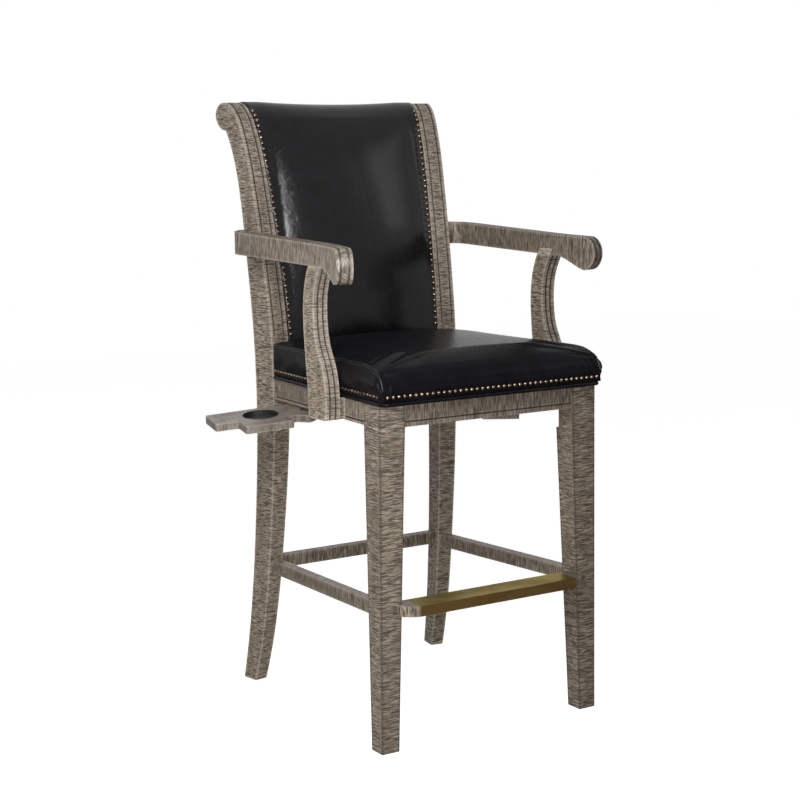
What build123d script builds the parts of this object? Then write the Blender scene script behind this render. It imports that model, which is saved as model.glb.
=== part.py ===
from build123d import *
import os
from math import acos, atan2, cos, hypot, radians, sin, sqrt, tan

# A billiard spectator chair in millimetres. +Z is up, the chair faces -Y, and left means -X.
# Pieces are drawn with y = 0 on the front faces of the front legs and z = 0 on the floor.
# save() then moves each one forward by half the footprint, so that the origin lies on the
# floor in the middle of the footprint. What comes in pairs is drawn at +X and mirrored.

# Footprint, heights and gaps that several pieces share
footprint_depth = 600.0
apron_bottom = 641.4
apron_top = 686.0
soft_gap = 0.3
overrun = 60.0

# Front legs: square at the aprons, tapering on the inner faces to the foot
leg_outer = 258.35
leg_toe_out = 3.65
leg_size = 57.0
foot_size = 39.0
leg_chamfer = 11.0
leg_chamfer_drop = 46.0
glide_height = 1.5
glide_radius = 12.5
glide_pin_radius = 2.0
glide_pin_length = 14.0

# Rear posts: curved boards turned outward, drawn in their own plane.
# Each point is (share of the sweep, share of the height).
post_turn = 9.62
post_corner_x = 234.26
post_corner_y = 470.17
post_height = 1269.0
post_sweep = 182.0
post_foot_thick = 29.6
post_thick = 44.0
post_top_thick = 42.0
post_front_shares = (
    (0.493, 0.0), (0.282, 0.110), (0.144, 0.236), (0.055, 0.355), (0.0, 0.506),
    (0.022, 0.6225), (0.110, 0.709), (0.207, 0.788), (0.303, 0.851), (0.397, 0.906),
    (0.512, 0.9535), (0.694, 0.9925), (0.810, 1.0), (0.934, 0.996), (1.0, 0.982),
    (0.958, 0.9637), (0.809, 0.9535),
)
post_rear_shares = (
    (0.809, 0.9535), (0.661, 0.906), (0.567, 0.851), (0.500, 0.788), (0.430, 0.709),
    (0.366, 0.6225), (0.331, 0.506), (0.372, 0.355), (0.445, 0.236), (0.562, 0.110),
    (0.720, 0.0),
)

# Grooves that leave raised reeds: a wide shallow band with a narrow deep one in it
groove_width = 5.6
groove_step = 1.0
groove_core = 3.0
groove_depth = 3.0
post_groove_bottom = 776.0
post_outer_bead = 8.0
post_inner_bead = 9.5
# The grooves follow these of the front points, from the first up to the last
groove_first = 4
groove_last = 14

# Aprons: flat rails with a bead along the lower edge
side_apron_x = 253.7
side_apron_lean = 0.0525
apron_thick = 22.0
front_apron_inset = 3.0
rear_apron_y = 503.0
apron_bead = 8.5
bead_groove_width = 3.2
bead_groove_depth = 2.6

# Corner blocks, their bolts and the screws that hold the seat down
block_bottom = 647.0
block_height = 36.0
block_reach = 58.0
hanger_radius = 3.0
hanger_length = 52.0
hanger_nut_radius = 6.5
hanger_nut_height = 6.0
hanger_rise = 17.0
seat_screw_radius = 2.5
seat_screw_head = 5.0
seat_screw_head_height = 3.0
seat_screw_grip = 20.0
# From the front leg's inner corner, and from where the side apron's inner face meets the post
front_screw_offset = (6.6, 21.1)
rear_screw_offset = (7.7, 15.4)

# Stretchers; the side ones run between (outer face, y, middle height) points
stretcher_thick = 22.0
stretcher_high = 27.5
side_stretcher_front = (248.1, 44.0, 282.4)
side_stretcher_rear = (230.6, 500.0, 269.7)
rear_stretcher_y = 515.0
rear_stretcher_bottom = 260.6

# Footrest: a wooden rail with a brass cap let into it
rest_top = 295.0
rest_high = 20.7
rest_front = 30.0
rest_back = 28.0
rest_end = 224.0
rest_corner = 190.0
rest_curve = (212.0, 20.0)
cap_half = 189.0
cap_thick = 1.5
cap_lip = 16.0
cap_screw_radius = 1.8
cap_screw_head = 3.6
cap_screw_head_height = 1.6
cap_screw_length = 12.0
cap_screw_count = 4
cap_screw_margin = 24.0

# Dowels
dowel_radius = 4.5
dowel_length = 44.0
dowel_spacing = 18.0
rest_dowel_first = 7.5
rest_dowel_spacing = 12.0
stretcher_rear_dowel_y = 497.25

# Arms: a plank with a shallow bend, an elbow into the post and a scroll at the front.
# The side outline lies in an upright plane square to the toed-out front end; its points
# are (distance back from the scroll's middle, height).
arm_thick = 32.0
arm_toe = 20.0
arm_butt = 238.0
elbow_centre = (250.0, 488.0)
elbow_radius = 36.0
arm_bend = (279.5, 190.0)
arm_nose = (302.0, 43.7)
scroll_depth = 27.0
scroll_rise = 34.5
scroll_z = 948.7
scroll_neck = (13.5, 918.8)
scroll_waist = (42.0, 932.5)
arm_throat = (67.0, 942.0)
arm_rear = 475.0
arm_rear_top = 1002.0
arm_rear_bottom = 954.5
arm_groove_offset = 8.2

# Arm supports: (y, z) points down the front edge and up the back edge
support_inner = 262.3
support_groove_offset = 6.0
support_outer = 294.3
support_front = ((150.0, 956.0), (158.0, 941.8), (179.0, 897.0), (184.0, 842.0), (174.0, 788.0),
                 (154.0, 749.0), (141.0, 695.0), (143.0, 643.0))
support_back = ((210.0, 643.0), (211.0, 701.0), (218.0, 756.0), (223.0, 811.0),
                (224.0, 861.0), (218.0, 900.0), (200.0, 944.3), (192.0, 956.0))
support_corner = 8.0
spacer_front = 150.0
spacer_back = 203.0
spacer_rise = 2.0
support_bolt_radius = 4.0
support_bolt_head = 8.0
support_bolt_head_height = 4.0
support_bolt_sink = 1.0
support_bolt_tip = 10.0
support_bolt_rise = 22.6
support_bolt_spacing = 28.0
arm_dowel_length = 50.0
arm_dowel_y = (178.0, 190.0)
arm_dowel_radius = 4.0
arm_dowel_z = 943.0
arm_bolt_radius = 4.0
arm_bolt_head = 7.0
arm_bolt_head_height = 5.0
arm_bolt_tip = 274.0
arm_bolt_seat = 209.0
arm_bolt_y = 524.0
arm_bolt_z = 977.0

# Seat: a screwed frame of four rails and a deck under the sewn cushion
seat_front_half = 263.0
seat_back_half = 236.0
seat_front_y = -19.0
seat_back_y = 469.8
piping_radius = 4.0
piping_corner = 12.0
seat_rail_width = 50.0
seat_rail_height = 30.0
deck_thick = 6.0
seat_end_gap = 3.5
# Cushion sections: (y, seam height above the frame, crown, inset at the front corners).
# Below them runs a flat skirt that the nails hold.
cushion_sections = (
    (-17.0, 27.0, 0.8, 6.0), (-12.0, 38.0, 2.0, 2.0), (-3.0, 50.0, 4.0, 0.6), (16.0, 64.5, 6.5, 0.0),
    (50.0, 71.0, 9.0, 0.0), (200.0, 71.5, 11.0, 0.6), (380.0, 71.0, 10.0, 0.3), (469.8, 69.5, 7.0, 0.0),
)
skirt_bottom = 8.3
skirt_top = 23.0
skirt_inset = 2.4
skirt_corner = 6.0
cushion_bulge = 1.6
cushion_draw = 2.6
nail_row = 18.0
seat_nail_pitch = 12.8
seat_nail_front_half = 250.0
seat_nail_side_start = 6.0
seat_nail_side_end = 458.0

# Nails
nail_radius = 3.9
nail_height = 2.6
nail_shank_radius = 1.0
nail_shank = 14.0
nail_lift = 0.15

# Back: a curved board, two rails, the padded front with its rolled top and the rear panel.
# Each curve is a chain of three-point arcs, through points like those of the posts:
# (share of the sweep behind the posts' front corners, share of the height).
back_front_shares = (
    (0.0073, 0.5516), (0.0925, 0.6698), (0.2436, 0.7880), (0.3727, 0.8708), (0.5375, 0.9535),
    (0.6502, 0.9850), (0.8342, 1.0020), (0.9936, 0.9921), (0.9991, 0.9661),
)
back_roll_foot_share = (0.8782, 0.9555)
back_crown = 22.0
back_crown_shares = ((0.0, 1.0), (0.38, 0.93), (0.70, 0.70), (0.90, 0.36), (1.0, 0.0))
back_crown_height_shares = (0.0, 0.6, 1.0, 0.92, 0.5, 0.2, 0.0, 0.0, 0.0)
back_flat_half = 176.0
back_pad_edge = 10.0
back_board_thick = 12.0
back_panel_shares = (
    (0.3562, 0.5453), (0.4029, 0.6698), (0.5265, 0.7880), (0.6419, 0.8786), (0.8370, 0.9527),
)
back_panel_thick = 5.0
back_rail_bottom = 700.0
back_rail_high = 50.0
roll_core_share = (0.8123, 0.9764)
roll_core_radius = 20.0
back_nail_pitch = 12.9
back_nail_count = 39
back_nail_start = 78.0
back_nail_inset = 5.6
# The heads on the curved strip stand off a little more, so their rims clear it
back_nail_lift = 0.35

# Swing trays: outline in the board's own plane, u outward and v to the front
tray_origin = (246.0, 370.0)
tray_pivot_top = 636.2
tray_toe = 9.5
tray_thick = 16.0
tray_droop_left = (3.9, 5.2)
tray_droop_right = (4.9, 0.0)
tray_end = 175.0
tray_rear = 40.0
tray_step = 38.0
tray_step_foot = 150.0
tray_scoop = (127.0, 40.0)
tray_front = 88.0
tray_front_inner = (25.0, 90.0)
tray_notch = (25.0, 55.0)
tray_notch_foot = (8.0, 52.0)
tray_ear_tip = (-13.0, 70.0)
tray_ear_side = (-31.0, 59.0)
tray_ear_foot = (-41.0, 38.0)
tray_inner_foot = (-41.0, -2.0)
tray_back_foot = (-10.0, -40.0)
tray_round = 6.0
cup_at = (72.0, 12.6)
cup_radius = 38.2
cup_ledge = 3.0
cup_ledge_depth = 4.0
insert_wall = 2.0
insert_floor = 2.0
pivot_at = (225.0, 345.0)
pivot_radius = 4.0
pivot_clearance = 0.05
pivot_head_radius = 10.0
pivot_head_height = 4.0
pivot_reach = 28.0
spot_radius = 13.5
spot_depth = 1.6
bushing_radius = 12.0
tray_gap = 0.2
tray_swing_right = 131.0


# Shared helpers

def rod(start, direction, radius, length):
    """A round bar from start along a direction."""
    return extrude(Plane(origin=start, z_dir=direction) * Circle(radius), length)


def bar(x, y, z):
    """A box from its (low, high) limits along each axis."""
    size = [high - low for low, high in (x, y, z)]
    middle = [(high + low) / 2 for low, high in (x, y, z)]
    return Pos(*middle) * Box(*size)


def side_prism(outline, low_x, high_x):
    """A closed (y, z) outline pushed along X."""
    return extrude(Plane.YZ.offset(low_x) * make_face(outline), high_x - low_x)


def mirrored(piece):
    return mirror(piece, about=Plane.YZ)


def solids_of(pieces):
    return Compound([solid for piece in pieces for solid in piece.solids()])


def arcs_through(points):
    """Three-point arcs that share their end points."""
    return [ThreePointArc(*points[k:k + 3]) for k in range(0, len(points) - 2, 2)]


# Legs and posts

def front_leg():
    corner = (Align.MAX, Align.MIN)
    foot = Pos(leg_outer + leg_toe_out, 0, glide_height) * Rectangle(foot_size, foot_size, align=corner)
    top = Pos(leg_outer, 0, apron_bottom) * Rectangle(leg_size, leg_size, align=corner)
    leg = loft([foot, top], ruled=True) + extrude(top, apron_top - apron_bottom)
    low = apron_bottom - leg_chamfer_drop
    side = leg_chamfer * sqrt(2)
    cutter = extrude(Pos(leg_outer - leg_size, leg_size, low) * Rot(0, 0, 45) * Rectangle(side, side),
                     apron_top + overrun - low)
    return leg - cutter


def beside_posts(shares):
    """(y, z) points of the back from their shares of the posts' sweep and height."""
    return [(post_corner_y + s * post_sweep, z * post_height) for s, z in shares]


turn = radians(post_turn)
post_plane = Plane(origin=(post_corner_x, post_corner_y, 0), x_dir=(sin(turn), cos(turn), 0),
                   z_dir=(cos(turn), -sin(turn), 0))
post_edge_plane = Plane(origin=(post_corner_x, post_corner_y, 0), x_dir=(cos(turn), -sin(turn), 0),
                        z_dir=(-sin(turn), -cos(turn), 0))
post_span = post_sweep + overrun
back_front_line = beside_posts(back_front_shares)
back_panel_line = beside_posts(back_panel_shares)
back_roll_foot, roll_core_middle = beside_posts((back_roll_foot_share, roll_core_share))


def post_outline():
    front = Spline(*[(s * post_sweep, z * post_height) for s, z in post_front_shares])
    rear = Spline(*[(s * post_sweep, z * post_height) for s, z in post_rear_shares])
    return make_face([front, rear, Line(rear @ 1, front @ 0)])


def post_thickness(z):
    """How thick the board is at a height."""
    if z < apron_bottom:
        return post_foot_thick + (post_thick - post_foot_thick) * z / apron_bottom
    share = (z - apron_bottom) / (post_height - apron_bottom)
    return post_thick + (post_top_thick - post_thick) * share


def edge_prism(outline):
    """An outline seen from behind the post, pushed through the whole depth of the board."""
    return extrude(post_edge_plane * Polygon(*outline, align=None), post_span * 2, both=True)


def beyond_post(gap):
    """All the room outward of a post's inner face, with a gap in front of that face."""
    top = post_height + overrun
    inner = [(-post_thickness(z) - gap, z) for z in (0, apron_bottom, top)]
    return edge_prism(inner + [(post_span, top), (post_span, 0)])


def post_grooves():
    """Cutters for the two grooves down the front of a post and over its rolled top."""
    points = [(s * post_sweep, z * post_height) for s, z in post_front_shares[groove_first:groove_last]]
    high = post_height + overrun
    above = edge_prism([(-overrun, post_groove_bottom), (overrun, post_groove_bottom),
                        (overrun, high), (-overrun, high)])
    cutters = []
    for centre in (-post_outer_bead, post_inner_bead - post_top_thick):
        for width, depth in ((groove_width, groove_step), (groove_core, groove_depth)):
            outside = Spline(*[(s - depth, z + depth) for s, z in points])
            inside = Spline(*[(s + depth / sqrt(2), z - depth / sqrt(2)) for s, z in points])
            band = make_face([outside, Line(outside @ 1, inside @ 1), inside, Line(inside @ 0, outside @ 0)])
            strip = extrude(post_plane.offset(centre - width / 2) * band, width)
            cutters.append(strip & above)
    return cutters


def rear_post():
    blank = extrude(post_plane * post_outline(), -post_thick)
    high = post_height + overrun
    inner = [(-post_thickness(z), z) for z in (0, apron_bottom, high)]
    post = (blank & edge_prism([(0, 0)] + inner + [(0, high)])) - post_grooves()
    return post - bar((0, leg_outer * 2), (0, footprint_depth * 2), (-overrun, glide_height))


def post_point(s, n, z):
    """A point at s back along the board, n outward of its outer face, at height z."""
    return post_plane.from_local_coords((s, z, n))


# Aprons, stretchers and corner blocks

def side_apron_face(y):
    """The outer face of the side apron at y."""
    return side_apron_x - side_apron_lean * y


def side_apron():
    ends = (leg_size, post_corner_y + leg_size / 2)
    outer = [(side_apron_face(y), y) for y in ends]
    inner = [(side_apron_face(y) - apron_thick, y) for y in reversed(ends)]
    rail = extrude(Pos(0, 0, apron_bottom) * Polygon(*outer, *inner, align=None), apron_top - apron_bottom)
    groove = [(x - bead_groove_depth, y) for x, y in outer] + [(x + overrun, y) for x, y in reversed(outer)]
    cutter = extrude(Pos(0, 0, apron_bottom + apron_bead) * Polygon(*groove, align=None), bead_groove_width)
    return rail - cutter


def front_apron():
    half = leg_outer - leg_size
    rail = bar((-half, half), (front_apron_inset, front_apron_inset + apron_thick),
               (apron_bottom, apron_top))
    groove_bottom = apron_bottom + apron_bead
    cutter = bar((-half, half), (0, front_apron_inset + bead_groove_depth),
                 (groove_bottom, groove_bottom + bead_groove_width))
    return rail - cutter


def rear_apron():
    half = post_corner_x - post_foot_thick / 2
    rail = bar((-half, half), (rear_apron_y, rear_apron_y + apron_thick), (apron_bottom, apron_top))
    return rail - beyond_post(0) - mirrored(beyond_post(0))


def stretcher_middle(y):
    """The middle of the side stretcher's section at y."""
    (x0, y0, z0), (x1, y1, z1) = side_stretcher_front, side_stretcher_rear
    share = (y - y0) / (y1 - y0)
    return Vector(x0 + (x1 - x0) * share - stretcher_thick / 2, y, z0 + (z1 - z0) * share)


def side_stretcher():
    sections = []
    for y in (side_stretcher_front[1] - stretcher_thick / 2, side_stretcher_rear[1] + stretcher_thick):
        place = Plane(origin=stretcher_middle(y), x_dir=(1, 0, 0), z_dir=(0, -1, 0))
        sections.append(place * Rectangle(stretcher_thick, stretcher_high))
    return loft(sections, ruled=True)


def rear_stretcher():
    half = post_corner_x - post_foot_thick / 2
    rail = bar((-half, half), (rear_stretcher_y, rear_stretcher_y + stretcher_thick),
               (rear_stretcher_bottom, rear_stretcher_bottom + stretcher_high))
    return rail - beyond_post(0) - mirrored(beyond_post(0))


def block_prism(points):
    return extrude(Pos(0, 0, block_bottom) * Polygon(*points, align=None), block_height)


apron_back = front_apron_inset + apron_thick
leg_inner = leg_outer - leg_size
hanger_height = block_bottom + hanger_rise
inner_face_x = side_apron_x - apron_thick
# Each block's long face lies at 45 degrees, so that its bolt meets it square
front_block_x = leg_inner - block_reach
front_block_y = (apron_back + inner_face_x - front_block_x) / (1 + side_apron_lean)
rear_block_x = post_corner_x - post_thick - block_reach
rear_block_y = (rear_apron_y - inner_face_x + rear_block_x) / (1 - side_apron_lean)


def front_block():
    return block_prism([
        (front_block_x, apron_back), (leg_inner, apron_back), (leg_inner, leg_size),
        (side_apron_face(leg_size) - apron_thick, leg_size),
        (side_apron_face(front_block_y) - apron_thick, front_block_y),
    ])


def rear_block():
    return block_prism([
        (rear_block_x, rear_apron_y),
        (side_apron_face(rear_apron_y) - apron_thick, rear_apron_y),
        (side_apron_face(rear_block_y) - apron_thick, rear_block_y),
    ])


# Fasteners of the frame's right-hand side

def dowel(middle, direction):
    step = Vector(*direction) * (dowel_length / 2)
    return rod(Vector(*middle) - step, direction, dowel_radius, dowel_length)


apron_dowel_heights = [(apron_bottom + apron_top + side * dowel_spacing) / 2 for side in (-1, 1)]
half_apron = apron_thick / 2


def inner_face(y, z):
    """x of the post's inner face at y and z."""
    return post_corner_x + ((y - post_corner_y) * sin(turn) - post_thickness(z)) / cos(turn)


def apron_leg_dowels():
    side = [dowel((side_apron_face(leg_size) - half_apron, leg_size, z), (0, 1, 0))
            for z in apron_dowel_heights]
    front = [dowel((leg_inner, front_apron_inset + half_apron, z), (1, 0, 0))
             for z in apron_dowel_heights]
    return side, front


def apron_post_dowels():
    side = [dowel((side_apron_face(post_corner_y) - half_apron, post_corner_y, z), (0, 1, 0))
            for z in apron_dowel_heights]
    y = rear_apron_y + half_apron
    rear = [dowel((inner_face(y, z), y, z), (1, 0, 0)) for z in apron_dowel_heights]
    return side, rear


def stretcher_dowels():
    front = dowel(stretcher_middle(side_stretcher_front[1]), (0, 1, 0))
    rear = dowel(stretcher_middle(stretcher_rear_dowel_y), (0, 1, 0))
    y, z = rear_stretcher_y + stretcher_thick / 2, rear_stretcher_bottom + stretcher_high / 2
    cross = dowel((inner_face(y, z), y, z), (1, 0, 0))
    return front, rear, cross


def footrest_dowels():
    z = rest_top - rest_high / 2
    share = z / apron_bottom
    x = leg_outer + leg_toe_out - foot_size + (leg_inner - leg_outer - leg_toe_out + foot_size) * share
    rows = (rest_dowel_first, rest_dowel_first + rest_dowel_spacing)
    return [dowel((x - cap_thick, y, z), (1, 0, 0)) for y in rows]


def back_dowels():
    low_y, low_z = rear_apron_y + half_apron, back_rail_bottom + back_rail_high / 2
    low = [dowel((inner_face(low_y, low_z), low_y, low_z + side * dowel_spacing / 2), (1, 0, 0))
           for side in (-1, 1)]
    roll = dowel((inner_face(*roll_core_middle), *roll_core_middle), (1, 0, 0))
    return low, roll


front_hanger_way = Vector(-1, 1, 0).normalized()
rear_hanger_way = Vector(-1, -1, 0).normalized()
hanger_bite = leg_size / 4


def hanger(corner, way):
    """A hanger bolt out of a leg's inner corner, through the corner block."""
    start = Vector(*corner, hanger_height) - way * hanger_bite * sqrt(2)
    return rod(start, way, hanger_radius, hanger_length)


def hanger_nut(corner, way, face_sum):
    """The nut on the block's long face, where x plus or minus y is face_sum."""
    x, y = corner
    reach = (x + y * -way.Y / abs(way.Y) - face_sum) / sqrt(2)
    place = Plane(origin=Vector(x, y, hanger_height) + way * (reach + soft_gap), z_dir=way)
    hexagon = place * RegularPolygon(hanger_nut_radius, 6)
    return extrude(hexagon - place * Circle(hanger_radius), hanger_nut_height)


front_hanger_corner = (leg_inner, leg_size)
rear_hanger_corner = (inner_face(post_corner_y + leg_chamfer, hanger_height), post_corner_y + leg_chamfer)
front_seat_screw = (leg_inner + front_screw_offset[0], leg_size + front_screw_offset[1])
rear_seat_screw = (side_apron_face(post_corner_y) - apron_thick - rear_screw_offset[0],
                   post_corner_y - rear_screw_offset[1])


def seat_screw(place):
    start = Vector(*place, block_bottom - seat_screw_head_height)
    head = rod(start, (0, 0, 1), seat_screw_head, seat_screw_head_height)
    shaft_top = apron_top + seat_screw_grip
    return head + rod(start, (0, 0, 1), seat_screw_radius, shaft_top - start.Z)


def support_bolts():
    """The two bolts from inside the side apron into the arm support, and the wells for their heads."""
    middle, height = (spacer_front + spacer_back) / 2, apron_bottom + support_bolt_rise
    bolts, wells = [], []
    for side in (-1, 1):
        y = middle + side * support_bolt_spacing / 2
        seat = side_apron_face(y) - apron_thick + support_bolt_sink
        start = Vector(seat, y, height)
        head = rod(start - Vector(support_bolt_head_height, 0, 0), (1, 0, 0), support_bolt_head,
                   support_bolt_head_height)
        shaft = rod(start, (1, 0, 0), support_bolt_radius, support_outer - support_bolt_tip - seat)
        bolts.append(head + shaft)
        wells.append(rod(start - Vector(overrun, 0, 0), (1, 0, 0), support_bolt_head, overrun))
    return bolts, wells


def arm_bolt():
    """The bolt through the post into the elbow of the arm, and the well for its head."""
    seat = (arm_bolt_seat, arm_bolt_y, arm_bolt_z)
    head_start = (arm_bolt_seat - arm_bolt_head_height, arm_bolt_y, arm_bolt_z)
    bolt = rod(seat, (1, 0, 0), arm_bolt_radius, arm_bolt_tip - arm_bolt_seat)
    bolt = bolt + rod(head_start, (1, 0, 0), arm_bolt_head, arm_bolt_head_height)
    well = rod((arm_bolt_seat - overrun, arm_bolt_y, arm_bolt_z), (1, 0, 0), arm_bolt_head, overrun)
    return bolt, well


def arm_dowels():
    x = (support_inner + support_outer) / 2
    low = arm_dowel_z - arm_dowel_length / 2
    return [rod((x, y, low), (0, 0, 1), arm_dowel_radius, arm_dowel_length) for y in arm_dowel_y]


# Arms and their supports

def arm_path():
    """The plan middle line of an arm, from inside the post to past the nose."""
    (cx, cy), (bx, by) = elbow_centre, arm_bend
    end = atan2(by - cy, bx - cx) + acos(elbow_radius / hypot(bx - cx, by - cy))
    butt = Line((arm_butt, cy + elbow_radius), (cx, cy + elbow_radius))
    middle = (radians(90) + end) / 2
    ring = [(cx + elbow_radius * cos(angle), cy + elbow_radius * sin(angle)) for angle in (middle, end)]
    elbow = ThreePointArc((cx, cy + elbow_radius), *ring)
    reach = Line(elbow @ 1, arm_bend)
    toe = TangentArc(arm_bend, arm_nose, tangent=reach % 1)
    beyond = Line(toe @ 1, toe @ 1 + (toe % 1) * arm_thick)
    return [butt, elbow, reach, toe, beyond]


toe_angle = radians(arm_toe)
scroll_back = Vector(-sin(toe_angle), cos(toe_angle), 0)
scroll_middle = Vector(*arm_nose, 0) + scroll_back * scroll_depth
arm_plane = Plane(origin=scroll_middle, x_dir=scroll_back, z_dir=(cos(toe_angle), sin(toe_angle), 0))


def arm_side(inset):
    """The side outline of the arm; an inset one also fills the room below the arm."""
    top, front = scroll_z + scroll_rise - inset, scroll_depth - inset
    bottom = scroll_z - scroll_rise + inset
    nose = EllipticalCenterArc((0, scroll_z), front, scroll_rise - inset, start_angle=90, arc_size=180)
    crest = Line((arm_rear, arm_rear_top - inset), (0, top))
    if inset:
        low = apron_top
        ends = [Line((0, bottom), (scroll_neck[0] + scroll_depth, scroll_neck[1])),
                Line((scroll_neck[0] + scroll_depth, scroll_neck[1]), (arm_rear, low)),
                Line((arm_rear, low), (arm_rear, arm_rear_top - inset))]
    else:
        ends = [Line((0, bottom), scroll_neck),
                ThreePointArc(scroll_neck, scroll_waist, arm_throat),
                Line(arm_throat, (arm_rear, arm_rear_bottom)),
                Line((arm_rear, arm_rear_bottom), (arm_rear, arm_rear_top))]
    return extrude(arm_plane * make_face([crest, nose] + ends), overrun * 3, both=True)


def arm_band(width):
    """The plan of the arm at a width, as a tall prism."""
    low = scroll_z - scroll_rise * 2
    return extrude(Pos(0, 0, low) * trace(arm_path(), line_width=width), arm_rear_top + overrun - low)


def arm():
    blank = arm_band(arm_thick) & arm_side(0)
    for width, depth in ((groove_width, groove_step), (groove_core, groove_depth)):
        strips = arm_band(arm_groove_offset * 2 + width) - arm_band(arm_groove_offset * 2 - width)
        blank = blank - (strips - arm_side(depth))
    return blank


def support_outline():
    front, back = Spline(*support_front), Spline(*support_back)
    face = make_face([front, Line(front @ 1, back @ 0), back, Line(back @ 1, front @ 0)])
    low_corners = face.vertices().sort_by(Axis.Y)[:2]
    return fillet(low_corners, support_corner)


def arm_support():
    outline = support_outline()
    support = extrude(Plane.YZ.offset(support_inner) * outline, support_outer - support_inner)
    middle = (support_inner + support_outer) / 2
    for side in (-1, 1):
        for width, depth in ((groove_width, groove_step), (groove_core, groove_depth)):
            low = middle + side * support_groove_offset - width / 2
            strip = extrude(Plane.YZ.offset(low) * outline, width)
            support = support - (strip - Pos(0, depth, 0) * strip)
    return support


def support_spacer():
    corners = [(support_inner, y) for y in (spacer_front, spacer_back)]
    corners += [(side_apron_face(y), y) for y in (spacer_back, spacer_front)]
    low = apron_bottom + spacer_rise
    return extrude(Pos(0, 0, low) * Polygon(*corners, align=None), apron_top - low)


# Footrest

def footrest_rail():
    curve_x, curve_y = rest_curve
    edges = [Line((-rest_corner, -rest_front), (rest_corner, -rest_front)),
             ThreePointArc((rest_corner, -rest_front), (curve_x, -curve_y), (rest_end, 0)),
             Line((rest_end, 0), (rest_end, rest_back)),
             Line((rest_end, rest_back), (-rest_end, rest_back)),
             Line((-rest_end, rest_back), (-rest_end, 0)),
             ThreePointArc((-rest_end, 0), (-curve_x, -curve_y), (-rest_corner, -rest_front))]
    return extrude(Pos(0, 0, rest_top - rest_high) * make_face(edges), rest_high)


def footrest_cap():
    low, high = rest_top - rest_high, rest_top
    outline = Polyline((rest_back, high), (-rest_front, high), (-rest_front, low),
                       (cap_lip - rest_front, low), (cap_lip - rest_front, low + cap_thick),
                       (cap_thick - rest_front, low + cap_thick), (cap_thick - rest_front, high - cap_thick),
                       (rest_back, high - cap_thick), close=True)
    return side_prism(outline, -cap_half, cap_half)


def footrest_screws():
    run = (cap_half - cap_screw_margin) * 2
    screws = []
    for k in range(cap_screw_count):
        x = run * (k / (cap_screw_count - 1) - 1 / 2)
        seat = Vector(x, cap_lip / 2 + cap_thick - rest_front, rest_top - rest_high)
        under = seat - Vector(0, 0, cap_screw_head_height)
        head = rod(under, (0, 0, 1), cap_screw_head, cap_screw_head_height)
        screws.append(head + rod(seat, (0, 0, 1), cap_screw_radius, cap_screw_length))
    return screws


# Glides

def glide(x, y):
    disc = rod((x, y, 0), (0, 0, 1), glide_radius, glide_height)
    return disc + rod((x, y, glide_height), (0, 0, 1), glide_pin_radius, glide_pin_length)


leg_foot_middle = (leg_outer + leg_toe_out - foot_size / 2, foot_size / 2)
foot_s = (post_front_shares[0][0] + post_rear_shares[-1][0]) / 2 * post_sweep
post_foot_middle = post_point(foot_s, -post_foot_thick / 2, 0)


# Seat

def seat_half(y):
    share = (y - seat_front_y) / (seat_back_y - seat_front_y)
    return seat_front_half + (seat_back_half - seat_front_half) * share


rail_inset = piping_radius * 2 + soft_gap
rail_front_y = seat_front_y + rail_inset
rail_back_y = seat_back_y - seat_end_gap
deck_bottom = apron_top + seat_rail_height
deck_top = deck_bottom + deck_thick


def rail_half(y):
    return seat_half(y) - rail_inset


def raised(shape, low, high):
    return extrude(Pos(0, 0, low) * shape, high - low)


def seat_shape(corners, radius):
    """A plan shape of the seat with its two front corners rounded."""
    shape = Polygon(*corners, align=None)
    return fillet(shape.vertices().sort_by(Axis.Y)[:2], radius)


def seat_rails():
    """The front rail, the right side rail and the rear rail."""
    inner_front, inner_back = rail_front_y + seat_rail_width, rail_back_y - seat_rail_width
    front = seat_shape([(-rail_half(rail_front_y), rail_front_y), (rail_half(rail_front_y), rail_front_y),
                        (rail_half(inner_front), inner_front), (-rail_half(inner_front), inner_front)],
                       piping_corner - piping_radius)
    side = [(rail_half(inner_front), inner_front), (rail_half(rail_back_y), rail_back_y),
            (rail_half(rail_back_y) - seat_rail_width, rail_back_y),
            (rail_half(inner_front) - seat_rail_width, inner_front)]
    rear = []
    for y, side_sign in ((inner_back, -1), (inner_back, 1), (rail_back_y, 1), (rail_back_y, -1)):
        rear.append((side_sign * (rail_half(y) - seat_rail_width), y))
    shapes = [front, Polygon(*side, align=None), Polygon(*rear, align=None)]
    return [raised(shape, apron_top, deck_bottom) for shape in shapes]


def seat_board(low, high):
    corners = [(-rail_half(rail_front_y), rail_front_y), (rail_half(rail_front_y), rail_front_y),
               (rail_half(rail_back_y), rail_back_y), (-rail_half(rail_back_y), rail_back_y)]
    return raised(Polygon(*corners, align=None), low, high)


def cushion_section(y, seam, crown, inset):
    """One slice of the cushion: bulging sides up to the seams, and a crowned top."""
    low, high, half = apron_top + skirt_top, apron_top + seam, seat_half(y) - skirt_inset - inset
    top, middle = half - cushion_draw, (low + high) / 2
    edges = [Line((-half, low), (half, low)),
             ThreePointArc((half, low), (half + cushion_bulge, middle), (top, high)),
             ThreePointArc((top, high), (0, high + crown), (-top, high)),
             ThreePointArc((-top, high), (-half - cushion_bulge, middle), (-half, low))]
    place = Plane(origin=(0, y, 0), x_dir=(1, 0, 0), z_dir=(0, -1, 0))
    return place * make_face(edges)


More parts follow.
